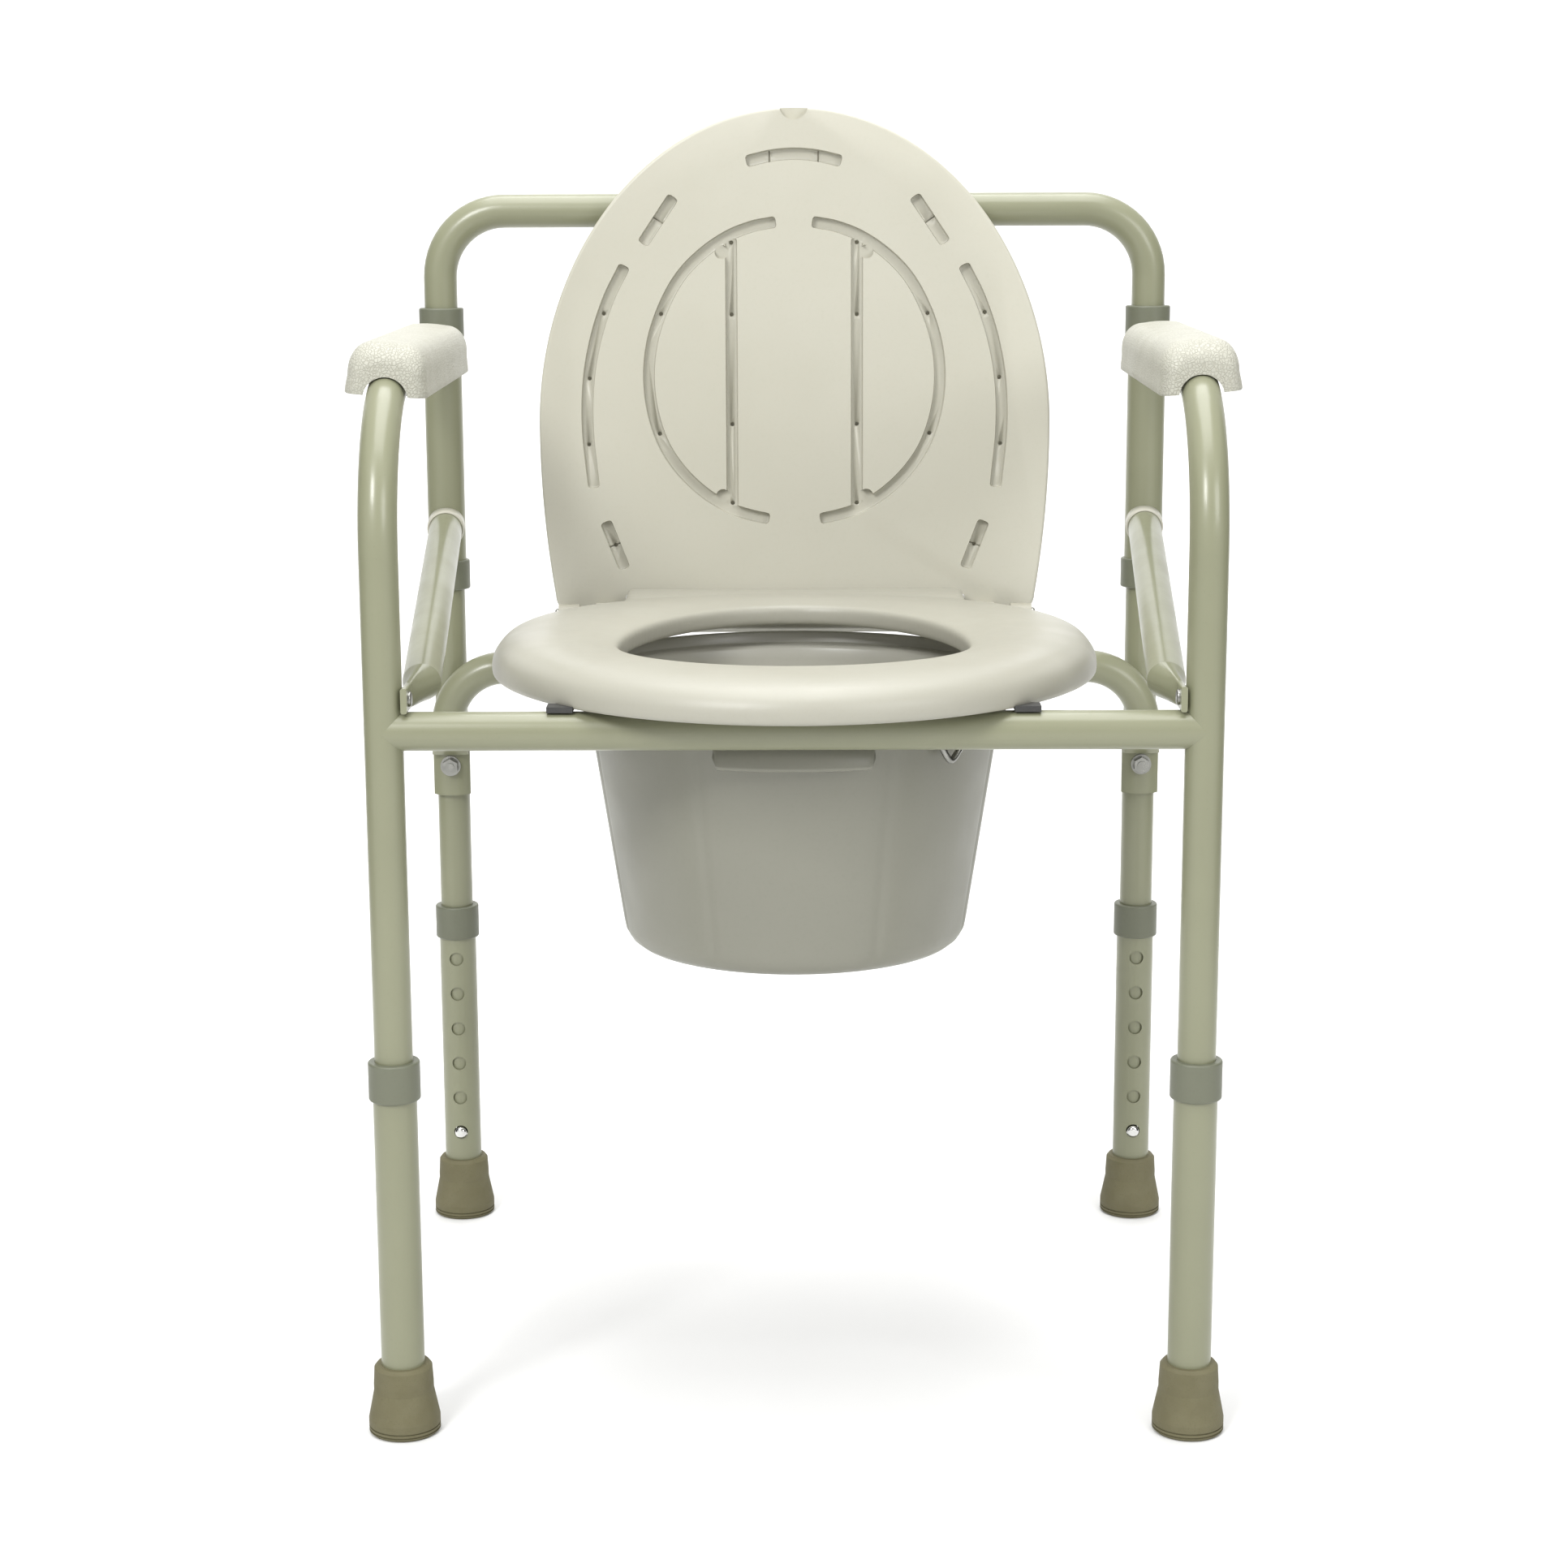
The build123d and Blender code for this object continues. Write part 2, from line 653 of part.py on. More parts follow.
# Bucket with flange, ribs, ears for the bail and a front grip lip
def bucket():
    r0 = bucket_base_r
    r1 = bucket_top_r
    z0 = bucket_base_z
    z1 = bucket_flange_z
    t = bucket_wall
    profile = Polyline(
        (0, z0),
        (r0 - 9, z0),
        (r0 - 2, z0 + 4),
        (r0 + 1, z0 + 10),
        (r1, bucket_skirt_z),
        (r1 + 1.2, z1),
        (bucket_flange_r - t, z1),
        (bucket_flange_r - t, bucket_skirt_z),
        (bucket_flange_r, bucket_skirt_z),
        (bucket_flange_r, z1 + t),
        (r1 - t, z1 + t),
        (r1 - t, bucket_skirt_z - 2),
        (r0 + 1 - t, z0 + 11),
        (r0 - 4, z0 + 4.6),
        (r0 - 11, z0 + t),
        (0, z0 + t),
        close=True,
    )
    body = revolve(make_face(Plane.XZ * profile), Axis.Z)
    # ear bosses
    for sign in (-1, 1):
        ear = rod((sign * 120, 0, bail_z), (sign * 130.2, 0, bail_z), 11)
        inside = Pos(0, 0, 340) * Cylinder(r1 - t - 1.2, 160)
        ear -= inside
        ear -= rod((sign * 126.4, 0, bail_z), (sign * 140, 0, bail_z), bail_d + 0.3)
        body += ear
        body -= rod((sign * 126.4, 0, bail_z), (sign * 129, 0, bail_z), bail_d + 0.3)
    # grip lip hanging from the flange at the front
    lip_z = bucket_skirt_z - 25
    lip = ring(0, 0, lip_z, bucket_skirt_z + 1, 2 * bucket_flange_r, 2 * (bucket_flange_r - t))
    lip &= Pos(0, -bucket_flange_r, lip_z + 15) * Box(95, 40, 30)
    body += lip
    return Pos(0, bucket_y, 0) * largest(body)


save("bucket", bucket())

# Bail: half ring of wire with inturned ends and a kink near each end
def bail():
    half_ring = ThreePointArc((-bail_r, 0, 0), (0, -bail_r, 0), (bail_r, 0, 0))
    wire = swept(half_ring, bail_d)
    for sign in (-1, 1):
        wire += rod((sign * 126.8, 0, 0), (sign * bail_r, 0, 0), bail_d)
        wire += Pos(sign * bail_r, 0, 0) * Sphere(bail_d / 2)
    return Pos(0, bucket_y, bail_z) * Rot(-bail_tip, 0, 0) * largest(wire)


save("bail_wire", bail())
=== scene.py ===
import json
import math

import bmesh
import bpy
import numpy as np
from mathutils import Matrix, Vector

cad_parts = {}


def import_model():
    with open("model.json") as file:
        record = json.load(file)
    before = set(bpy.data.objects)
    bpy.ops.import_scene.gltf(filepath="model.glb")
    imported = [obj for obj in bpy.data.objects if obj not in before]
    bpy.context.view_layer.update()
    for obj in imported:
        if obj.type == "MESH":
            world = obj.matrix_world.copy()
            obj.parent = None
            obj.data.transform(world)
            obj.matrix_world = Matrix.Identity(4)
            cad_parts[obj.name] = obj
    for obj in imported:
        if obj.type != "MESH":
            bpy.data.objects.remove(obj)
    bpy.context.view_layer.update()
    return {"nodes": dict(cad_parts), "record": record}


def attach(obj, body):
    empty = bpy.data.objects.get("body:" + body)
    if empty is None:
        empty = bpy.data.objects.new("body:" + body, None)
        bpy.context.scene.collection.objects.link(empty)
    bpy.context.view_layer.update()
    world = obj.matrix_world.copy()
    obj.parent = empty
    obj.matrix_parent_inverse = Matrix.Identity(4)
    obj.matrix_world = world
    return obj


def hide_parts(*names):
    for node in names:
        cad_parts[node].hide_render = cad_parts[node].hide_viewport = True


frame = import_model()
nodes = frame["nodes"]

# Lengths are metres: x to the right, y to the back, z up.
SIDES = ((-1, "left"), (1, "right"))
PIVOT = Vector((0, 0.152, 0.440))  # on the line that seat and lid turn about
BUCKET_Y = -0.017  # the bucket's upright axis
EAR_Z = 0.400  # height of the line through the bucket's ears, where the bail turns


# ---------------------------------------------------------------- materials
# Sockets of a Mix node that mixes colours
MIX_FACTOR, MIX_A, MIX_B, MIX_RESULT = 0, 6, 7, 2


def linear(r, g, b):
    """A screen colour as the shader's linear colour."""

    def one(v):
        return v / 12.92 if v <= 0.04045 else ((v + 0.055) / 1.055) ** 2.4

    return one(r), one(g), one(b), 1.0


class Shade:
    """A Principled material with object-space texture nodes."""

    def __init__(self, name, color, roughness, metallic=0.0):
        self.mat = bpy.data.materials.new(name)
        self.mat.use_nodes = True
        self.tree = self.mat.node_tree
        self.bsdf = self.tree.nodes["Principled BSDF"]
        self.color = linear(*color)
        self.bsdf.inputs["Base Color"].default_value = self.color
        self.bsdf.inputs["Roughness"].default_value = roughness
        self.bsdf.inputs["Metallic"].default_value = metallic
        self.coords = self.tree.nodes.new("ShaderNodeTexCoord").outputs["Object"]
        self.base = None
        self.normal = None

    def link(self, a, b):
        self.tree.links.new(a, b)

    def node(self, kind, **props):
        n = self.tree.nodes.new(kind)
        for key, value in props.items():
            setattr(n, key, value)
        return n

    def noise(self, scale, detail, rough=0.5, stretch=None):
        source = self.coords
        if stretch:
            m = self.node("ShaderNodeMapping")
            m.inputs["Scale"].default_value = stretch
            self.link(self.coords, m.inputs["Vector"])
            source = m.outputs["Vector"]
        n = self.node("ShaderNodeTexNoise")
        n.inputs["Scale"].default_value = scale
        n.inputs["Detail"].default_value = detail
        n.inputs["Roughness"].default_value = rough
        self.link(source, n.inputs["Vector"])
        return n.outputs["Fac"]

    def spread(self, value, low, high, to_low=0.0, to_high=1.0):
        n = self.node("ShaderNodeMapRange", interpolation_type="SMOOTHSTEP")
        n.inputs["From Min"].default_value = low
        n.inputs["From Max"].default_value = high
        n.inputs["To Min"].default_value = to_low
        n.inputs["To Max"].default_value = to_high
        self.link(value, n.inputs["Value"])
        return n.outputs["Result"]

    def patches(self, scale, detail, low, high):
        """Noise pushed towards 0 below low and 1 above high."""
        return self.spread(self.noise(scale, detail), low, high)

    def tint(self, factor, color, strength):
        """Mix the base colour towards another one where factor is high."""
        mix = self.node("ShaderNodeMix", data_type="RGBA")
        scaled = self.node("ShaderNodeMath", operation="MULTIPLY")
        scaled.inputs[1].default_value = strength
        self.link(factor, scaled.inputs[0])
        self.link(scaled.outputs[0], mix.inputs[MIX_FACTOR])
        if self.base is None:
            mix.inputs[MIX_A].default_value = self.color
        else:
            self.link(self.base, mix.inputs[MIX_A])
        mix.inputs[MIX_B].default_value = linear(*color)
        self.base = mix.outputs[MIX_RESULT]
        self.link(self.base, self.bsdf.inputs["Base Color"])

    def vary_roughness(self, factor, low, high):
        self.link(self.spread(factor, 0.2, 0.8, low, high), self.bsdf.inputs["Roughness"])

    def bump(self, height, strength, distance):
        n = self.node("ShaderNodeBump")
        n.inputs["Strength"].default_value = strength
        n.inputs["Distance"].default_value = distance
        self.link(height, n.inputs["Height"])
        if self.normal is not None:
            self.link(self.normal, n.inputs["Normal"])
        self.normal = n.outputs["Normal"]
        self.link(self.normal, self.bsdf.inputs["Normal"])


def powder_coat():
    s = Shade("powder_coat", (0.50, 0.505, 0.41), 0.33)
    s.tint(s.patches(9, 4, 0.35, 0.7), (0.475, 0.48, 0.385), 0.5)
    s.tint(s.patches(700, 2, 0.62, 0.75), (0.45, 0.455, 0.36), 0.2)
    s.vary_roughness(s.noise(35, 4), 0.29, 0.39)
    s.bump(s.noise(420, 2), 0.06, 0.0005)
    s.bsdf.inputs["Coat Weight"].default_value = 0.2
    s.bsdf.inputs["Coat Roughness"].default_value = 0.16
    return s.mat


def moulded(name, color, darker, roughness):
    s = Shade(name, color, roughness)
    s.tint(s.patches(6, 4, 0.35, 0.7), darker, 0.35)
    s.tint(s.patches(450, 2, 0.5, 0.75), darker, 0.2)
    s.vary_roughness(s.noise(28, 4), roughness - 0.05, roughness + 0.07)
    s.bump(s.noise(330, 2), 0.025, 0.0003)
    return s.mat


def cream_plastic(name, color, darker):
    """Moulded plastic that lets a little light into its surface."""
    mat = moulded(name, color, darker, 0.4)
    inputs = mat.node_tree.nodes["Principled BSDF"].inputs
    inputs["Subsurface Weight"].default_value = 0.05
    inputs["Subsurface Radius"].default_value = (0.01, 0.008, 0.006)
    return mat


def pad_plastic():
    """Plastic with a leather grain: cells with creases between them, and painted shade in the creases."""
    s = Shade("pad_plastic", (0.675, 0.672, 0.625), 0.5)
    cells = s.node("ShaderNodeTexVoronoi", feature="DISTANCE_TO_EDGE")
    cells.inputs["Scale"].default_value = 520
    warp = s.noise(300, 2)
    add = s.node("ShaderNodeVectorMath", operation="MULTIPLY_ADD")
    add.inputs[1].default_value = (0.002, 0.002, 0.002)
    s.link(warp, add.inputs[0])
    s.link(s.coords, add.inputs[2])
    s.link(add.outputs[0], cells.inputs["Vector"])
    s.bump(s.spread(cells.outputs["Distance"], 0.0, 0.16), 0.6, 0.0005)
    # painted shade: the grain's creases are tinted darker
    painted_crease_shade = s.spread(cells.outputs["Distance"], 0.0, 0.12, 1.0, 0.0)
    s.tint(painted_crease_shade, (0.56, 0.55, 0.49), 0.6)
    s.tint(s.patches(12, 3, 0.4, 0.7), (0.68, 0.675, 0.625), 0.4)
    s.vary_roughness(s.noise(60, 3), 0.42, 0.55)
    return s.mat


def rubber(name, color, darker, roughness):
    s = Shade(name, color, roughness)
    s.tint(s.patches(40, 5, 0.35, 0.7), darker, 0.6)
    s.tint(s.patches(900, 2, 0.55, 0.7), darker, 0.4)
    s.bump(s.noise(1100, 3), 0.2, 0.0004)
    s.vary_roughness(s.noise(90, 3), roughness - 0.1, roughness + 0.08)
    return s.mat


def metal(name, color, roughness, brushed):
    s = Shade(name, color, roughness, 1.0)
    s.tint(s.patches(80, 4, 0.4, 0.7), tuple(0.78 * c for c in color), 0.4)
    s.vary_roughness(s.noise(160, 3), roughness - 0.06, roughness + 0.1)
    if brushed:
        s.bump(s.noise(900, 2, 0.6, (1, 1, 0.08)), brushed, 0.0002)
    else:
        s.bump(s.noise(700, 2), 0.03, 0.0002)
    return s.mat


# name: colour, darker colour
CREAM_PLASTICS = {
    "seat_plastic": ((0.695, 0.687, 0.635), (0.665, 0.655, 0.595)),
    # the seat ring's copy of the lid's plastic, made darker: painted shade for the stronger light that falls on the
    # seat
    "seat_top": ((0.61, 0.603, 0.557), (0.585, 0.577, 0.525)),
}
# name: colour, darker colour, roughness
MOULDED_PLASTICS = {
    "collar_plastic": ((0.395, 0.405, 0.34), (0.36, 0.37, 0.31), 0.42),
    "hinge_plastic": ((0.62, 0.61, 0.555), (0.57, 0.56, 0.50), 0.4),
    "bucket_plastic": ((0.495, 0.493, 0.447), (0.465, 0.463, 0.415), 0.35),
    # the bucket's own plastic made lighter for its inside faces: painted light where the seat shades the inside
    "bucket_inside": ((0.66, 0.655, 0.615), (0.62, 0.615, 0.57), 0.35),
}
RUBBERS = {
    "foot_rubber": ((0.40, 0.383, 0.28), (0.355, 0.337, 0.235), 0.75),
    "bumper_rubber": ((0.24, 0.24, 0.23), (0.15, 0.15, 0.15), 0.6),
}
# name: colour, roughness, depth of the brush marks
METALS = {
    "chrome": ((0.86, 0.86, 0.85), 0.1, 0.0),
    "zinc_steel": ((0.60, 0.60, 0.58), 0.3, 0.15),
    "spring_steel": ((0.42, 0.42, 0.43), 0.35, 0.2),
}

MATS = {"frame_paint": powder_coat(), "pad_plastic": pad_plastic()}
for maker, table in (
    (cream_plastic, CREAM_PLASTICS), (moulded, MOULDED_PLASTICS), (rubber, RUBBERS), (metal, METALS),
):
    for name, looks in table.items():
        MATS[name] = maker(name, *looks)

slots = {row["node"]: row["material_slot"] for row in frame["record"]["subparts"]}
for name, obj in nodes.items():
    mat = MATS[slots[name]]
    if not obj.material_slots:
        obj.data.materials.append(mat)
    for slot in obj.material_slots:
        slot.material = mat


# ---------------------------------------------------------------- mesh helpers
def smooth(mesh):
    for p in mesh.polygons:
        p.use_smooth = True


def new_object(name, mesh, mat):
    obj = bpy.data.objects.new(name, mesh)
    bpy.context.scene.collection.objects.link(obj)
    if not mesh.materials:
        mesh.materials.append(mat)
    return obj


def loft_mesh(name, rings, closed=False):
    """Quads between rings of points. closed joins the last ring to the first, else both are capped."""
    count = len(rings[0])
    verts = [tuple(p) for ring in rings for p in ring]
    faces = []
    last = len(rings) if closed else len(rings) - 1
    for i in range(last):
        a = i * count
        b = (i + 1) % len(rings) * count
        for j in range(count):
            k = (j + 1) % count
            faces.append((a + j, a + k, b + k, b + j))
    if not closed:
        faces.append(tuple(reversed(range(count))))
        faces.append(tuple(range((len(rings) - 1) * count, len(rings) * count)))
    mesh = bpy.data.meshes.new(name)
    mesh.from_pydata(verts, [], faces)
    bm = bmesh.new()
    bm.from_mesh(mesh)
    bmesh.ops.recalc_face_normals(bm, faces=bm.faces)
    bm.to_mesh(mesh)
    bm.free()
    smooth(mesh)
    return mesh


def loft(name, rings, slot, closed=False):
    return new_object(name, loft_mesh(name, rings, closed), MATS[slot])


def bake(obj):
    """Replace the object's mesh by the one that its modifiers make."""
    bpy.context.view_layer.update()
    graph = bpy.context.evaluated_depsgraph_get()
    mesh = bpy.data.meshes.new_from_object(obj.evaluated_get(graph))
    old = obj.data
    obj.modifiers.clear()
    obj.data = mesh
    bpy.data.meshes.remove(old)


def combine(obj, others, operation):
    """Cut the other objects out of this one, or join them to it, and remove them."""
    for other in others:
        mod = obj.modifiers.new("combine", "BOOLEAN")
        mod.operation = operation
        mod.solver = "EXACT"
        mod.object = other
    bake(obj)
    for other in others:
        bpy.data.objects.remove(other, do_unlink=True)


def finish_edges(obj, width, segments, angle):
    """Round the edges that are sharper than the angle in degrees."""
    bevel = obj.modifiers.new("edges", "BEVEL")
    bevel.width = width
    bevel.segments = segments
    bevel.limit_method = "ANGLE"
    bevel.angle_limit = math.radians(angle)
    bevel.use_clamp_overlap = True
    bevel.harden_normals = True
    weighted = obj.modifiers.new("normals", "WEIGHTED_NORMAL")
    weighted.keep_sharp = True
    bake(obj)
    smooth(obj.data)


def tube_rings(path, radius, sides):
    """Circles round a list of points, with a frame carried along the path."""
    pts = [Vector(p) for p in path]
    rings = []
    normal = None
    for i, p in enumerate(pts):
        t = (pts[min(i + 1, len(pts) - 1)] - pts[max(i - 1, 0)]).normalized()
        if normal is None:
            normal = t.orthogonal().normalized()
        normal = (normal - t * normal.dot(t)).normalized()
        other = t.cross(normal)
        ring = []
        for k in range(sides):
            a = 2 * math.pi * k / sides
            ring.append(p + radius * (math.cos(a) * normal + math.sin(a) * other))
        rings.append(ring)
    return rings


def curve_points(points, step):
    """Catmull-Rom points through a list of control points, about a step apart."""
    pts = [Vector(p) for p in points]
    out = []
    for i in range(len(pts) - 1):
        p1, p2 = pts[i], pts[i + 1]
        p0 = pts[i - 1] if i > 0 else p1 + (p1 - p2)
        p3 = pts[i + 2] if i + 2 < len(pts) else p2 + (p2 - p1)
        steps = max(2, int((p2 - p1).length / step))
        for k in range(steps):
            t = k / steps
            linear_part = 2 * p1 + (p2 - p0) * t
            square_part = (2 * p0 - 5 * p1 + 4 * p2 - p3) * t * t
            cubic_part = (3 * p1 - p0 - 3 * p2 + p3) * t * t * t
            out.append(0.5 * (linear_part + square_part + cubic_part))
    out.append(pts[-1])
    return out


def arc(cx, cz, radius, start, end, steps):
    """Points of a circular arc in a section, angles in degrees."""
    out = []
    for k in range(steps + 1):
        a = math.radians(start + (end - start) * k / steps)
        out.append((cx + radius * math.cos(a), cz + radius * math.sin(a)))
    return out


# ---------------------------------------------------------------- seat
OPENING_FRONT, OPENING_REAR = -0.150, 0.0985
OPENING_HALF, OPENING_WIDEST_Y = 0.1045, -0.062
SEAT_HALF, SEAT_WIDEST_Y = 0.184, -0.022
SEAT_FRONT_REACH, SEAT_REAR_REACH = 0.2083, 0.173  # from the widest place
FRONT_POWER, REAR_POWER = 2.0, 3.0  # 2 is an ellipse, more is squarer
LIP_Z, CROWN_Z = 0.4540, 0.4571  # at the opening, and where the ring is highest
LIP_RADIUS = 0.0045
SKIRT_Z, SKIRT_DROP = 0.4326, 0.0030  # lower edge in front, and how much lower at the back
WALL_FOOT_Z, UNDERSIDE_Z = 0.4404, 0.4418
SEAT_STEPS = 240
SKIN_VOXEL = 0.0016

# Side view of the hinge block across the back, rounded over the hinge line: y, z
BLOCK_TOP = ((0.1135, 0.4440), (0.1135, 0.4500), (0.1200, 0.4545), (0.130, 0.4563), (0.142, 0.4569), (0.150, 0.4568))
BLOCK_FOOT = ((0.160, 0.4284), (0.150, 0.4284), (0.145, 0.4320), (0.131, 0.4330), (0.129, 0.4440))
BLOCK_MIDDLE = (0.140, 0.445)
# Places across the block, and how far its outline is drawn in there
BLOCK_PLACES = (
    (-0.1125, 0.004), (-0.1120, 0.0018), (-0.1100, 0.0), (-0.06, 0.0), (0.0, 0.0),
    (0.06, 0.0), (0.1100, 0.0), (0.1120, 0.0018), (0.1125, 0.004),
)


def opening_edge(angle):
    """Edge of the opening: two half ellipses that meet where it is widest."""
    x = OPENING_HALF * math.cos(angle)
    at_back = math.sin(angle) > 0
    reach = OPENING_REAR - OPENING_WIDEST_Y if at_back else OPENING_WIDEST_Y - OPENING_FRONT
    return x, OPENING_WIDEST_Y + reach * math.sin(angle)


def seat_edge(angle):
    """Outer edge of the seat: elliptical in front, squarer towards the hinge."""
    c, s = abs(math.cos(angle)), math.sin(angle)
    power, reach = (REAR_POWER, SEAT_REAR_REACH) if s > 0 else (FRONT_POWER, SEAT_FRONT_REACH)
    radius = ((c / SEAT_HALF) ** power + (abs(s) / reach) ** power) ** (-1 / power)
    return radius * math.cos(angle), SEAT_WIDEST_Y + radius * s


def seat_section(width, low):
    """Closed section across the seat ring: distance from the opening, height."""
    crown = 0.36 * width
    fall = width - crown
    out = [(0.0035, WALL_FOOT_Z), (0.0008, 0.4412), (0.0, 0.4432)]
    out += arc(LIP_RADIUS, LIP_Z - LIP_RADIUS, LIP_RADIUS, 180, 90, 6)
    for t in (0.2, 0.4, 0.6, 0.8):
        rise = (CROWN_Z - LIP_Z) * math.sin(math.pi / 2 * t)
        out.append((LIP_RADIUS + (crown - LIP_RADIUS) * t, LIP_Z + rise))
    for k in range(19):
        a = math.radians(90 - 90 * k / 18)
        height = (CROWN_Z - low - 0.003) * math.sin(a) ** 0.74
        out.append((crown + fall * math.cos(a) ** 0.62, low + 0.003 + height))
    out += [(width - 0.0002, low + 0.0012), (width - 0.0014, low), (width - 0.008, low)]
    out += [(width - 0.0105, low + 0.003), (width - 0.0125, UNDERSIDE_Z)]
    out += [(0.010, UNDERSIDE_Z), (0.0075, WALL_FOOT_Z)]
    return out


def seat_ring():
    rings = []
    for i in range(SEAT_STEPS):
        a = 2 * math.pi * i / SEAT_STEPS
        ix, iy = opening_edge(a)
        ox, oy = seat_edge(a)
        width = math.hypot(ox - ix, oy - iy)
        ux, uy = (ox - ix) / width, (oy - iy) / width
        low = SKIRT_Z - SKIRT_DROP * min(1.0, max(0.0, (math.sin(a) - 0.3) / 0.3))
        rings.append([(ix + ux * d, iy + uy * d, z) for d, z in seat_section(width, low)])
    # the ring takes the darker copy of the lid's plastic: painted shade
    return loft("seat_ring", rings, "seat_top", closed=True)


def seat_block():
    profile = list(BLOCK_TOP)
    profile += arc(0.1585, 0.4433, 0.0135, 82, 0, 10)
    profile += arc(0.1660, 0.4390, 0.006, 0, -90, 5)
    profile += BLOCK_FOOT
    mid_y, mid_z = BLOCK_MIDDLE
    rings = []
    for x, shrink in BLOCK_PLACES:
        ring = []
        for y, z in profile:
            dy, dz = y - mid_y, z - mid_z
            reach = math.hypot(dy, dz)
            s = (reach - shrink) / reach
            ring.append((x, mid_y + dy * s, mid_z + dz * s))
        rings.append(ring)
    # the block takes the same darker copy of the lid's plastic: painted shade
    return loft("seat_block", rings, "seat_top")


def seat():
    ring = seat_ring()
    combine(ring, [seat_block()], "UNION")
    # one soft skin over ring and block
    mod = ring.modifiers.new("skin", "REMESH")
    mod.mode = "VOXEL"
    mod.voxel_size = SKIN_VOXEL
    mod.use_smooth_shade = True
    mod = ring.modifiers.new("soften", "SMOOTH")
    mod.factor = 0.5
    mod.iterations = 9
    bake(ring)
    smooth(ring.data)
    ring.name = "seat_shell"
    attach(ring, "seat_body")
    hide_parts("seat")


# ---------------------------------------------------------------- lid
# Drawn flat: x across, y along the lid from the hinge line, z behind its visible face.
LEAN = math.radians(92.5)  # of the open lid, from the closed one
FACE_BEHIND = 0.0176  # from the hinge line back to the visible face
LID_THICK = 0.0142
LID_HALF, LID_WIDEST_Y = 0.171, 0.125
LID_TOP_REACH, LID_SIDE_REACH = 0.209, 0.350  # of the half ellipse above, of the sides below
CORNER_RADIUS, CORNER_Y = 0.014, 0.012  # of the rounded corners at the hinge
FRONT_EDGE_RADIUS, BACK_EDGE_RADIUS = 0.0022, 0.0055
BACK_CROWN = ((0.9, 0.0003), (0.7, 0.0007), (0.4, 0.001))  # shrink towards the middle, rise

CHANNEL_DEPTH = 0.0052
CHANNEL_STEP = 0.0025
CHANNEL_WIDTH, RING_CHANNEL_WIDTH = 0.0084, 0.0082
# Levels of a channel's wall, and how far it is drawn in there
CHANNEL_WALL = (
    (-0.002, 0.0), (CHANNEL_DEPTH - 0.0012, 0.0005), (CHANNEL_DEPTH - 0.0003, 0.0009), (CHANNEL_DEPTH, 0.0018),
)
TOP_CHANNEL = ((-0.0285, 0.2995), (-0.0150, 0.3025), (0.0, 0.3037), (0.0150, 0.3025), (0.0285, 0.2995))
# Channels pressed into the right-hand half of the lid, and mirrored: width, points
SIDE_CHANNELS = (
    (CHANNEL_WIDTH, ((0.0815, 0.2735), (0.0988, 0.2480))),
    (
        CHANNEL_WIDTH,
        (
            (0.1140, 0.2285), (0.1240, 0.2085), (0.1325, 0.1830),
            (0.1376, 0.1550), (0.1385, 0.1230), (0.1352, 0.0870),
        ),
    ),
    (CHANNEL_WIDTH, ((0.1262, 0.0585), (0.1160, 0.0325))),
    (
        RING_CHANNEL_WIDTH,
        (
            (0.0150, 0.2590), (0.0280, 0.2565), (0.0445, 0.2500), (0.0615, 0.2385), (0.0760, 0.2235),
            (0.0870, 0.2040), (0.0945, 0.1820), (0.0972, 0.1590), (0.0950, 0.1360), (0.0880, 0.1140),
            (0.0765, 0.0960), (0.0610, 0.0810), (0.0440, 0.0705), (0.0310, 0.0660), (0.0200, 0.0635),
        ),
    ),
    (CHANNEL_WIDTH, ((0.0418, 0.2460), (0.0418, 0.0740))),
)
# Rounded corners of the two D-shaped islands: x, y, and their radius
ISLAND_CORNERS = ((0.0482, 0.2400), (0.0482, 0.0785))
ISLAND_CORNER_RADIUS = 0.0046
# Notch at the tip: y, radius, depth
NOTCH = (0.3352, 0.0095, 0.0078)
# Recess that clears the seat's hinge block
RECESS = ((0.1145, -0.03), (0.1145, 0.011), (0.111, 0.0146), (-0.111, 0.0146), (-0.1145, 0.011), (-0.1145, -0.03))
# Pin holes in the channel floors, mirrored too
PIN_RADIUS = 0.0014
PIN_HOLES = (
    (0.0418, 0.2462), (0.0418, 0.1990), (0.0418, 0.1262), (0.0418, 0.0735),
    (0.0890, 0.1995), (0.0905, 0.1200), (0.1272, 0.2000), (0.1372, 0.1570), (0.1382, 0.1130),
    (0.1210, 0.0455),
)
# Joint lines across the short channels: x, y, direction in degrees
JOINT_LINES = (
    (-0.0162, 0.3020, 90), (0.0162, 0.3020, 90), (0.0902, 0.2608, 34), (-0.0902, 0.2608, -34),
    (0.1212, 0.0455, -22), (-0.1212, 0.0455, 22),
)
JOINT_HALF_LENGTH, JOINT_HALF_WIDTH = 0.0037, 0.0004
# Sections of a hinge lug: x, radius
LUG_PLACES = ((0.1195, 0.0056), (0.1202, 0.0062), (0.1338, 0.0062), (0.1345, 0.0056))


def prism_cutter(outline, low, high):
    return loft("cutter", [[(x, y, z) for x, y in outline] for z in (low, high)], "seat_plastic")


def disc_cutter(x, y, radius, low, high, sides):
    angles = [2 * math.pi * k / sides for k in range(sides)]
    return prism_cutter([(x + radius * math.cos(a), y + radius * math.sin(a)) for a in angles], low, high)


def across(direction):
    return Vector((-direction.y, direction.x, 0))


def channel_end(middle, direction, half):
    """A round end that is a little squared off, from the left side over to the right."""
    end = []
    for k in range(1, 12):
        a = math.pi * k / 12
        side = math.copysign(abs(math.cos(a)) ** 0.62, math.cos(a))
        end.append(middle + half * (side * across(direction) + math.sin(a) ** 0.62 * 0.8 * direction))
    return end


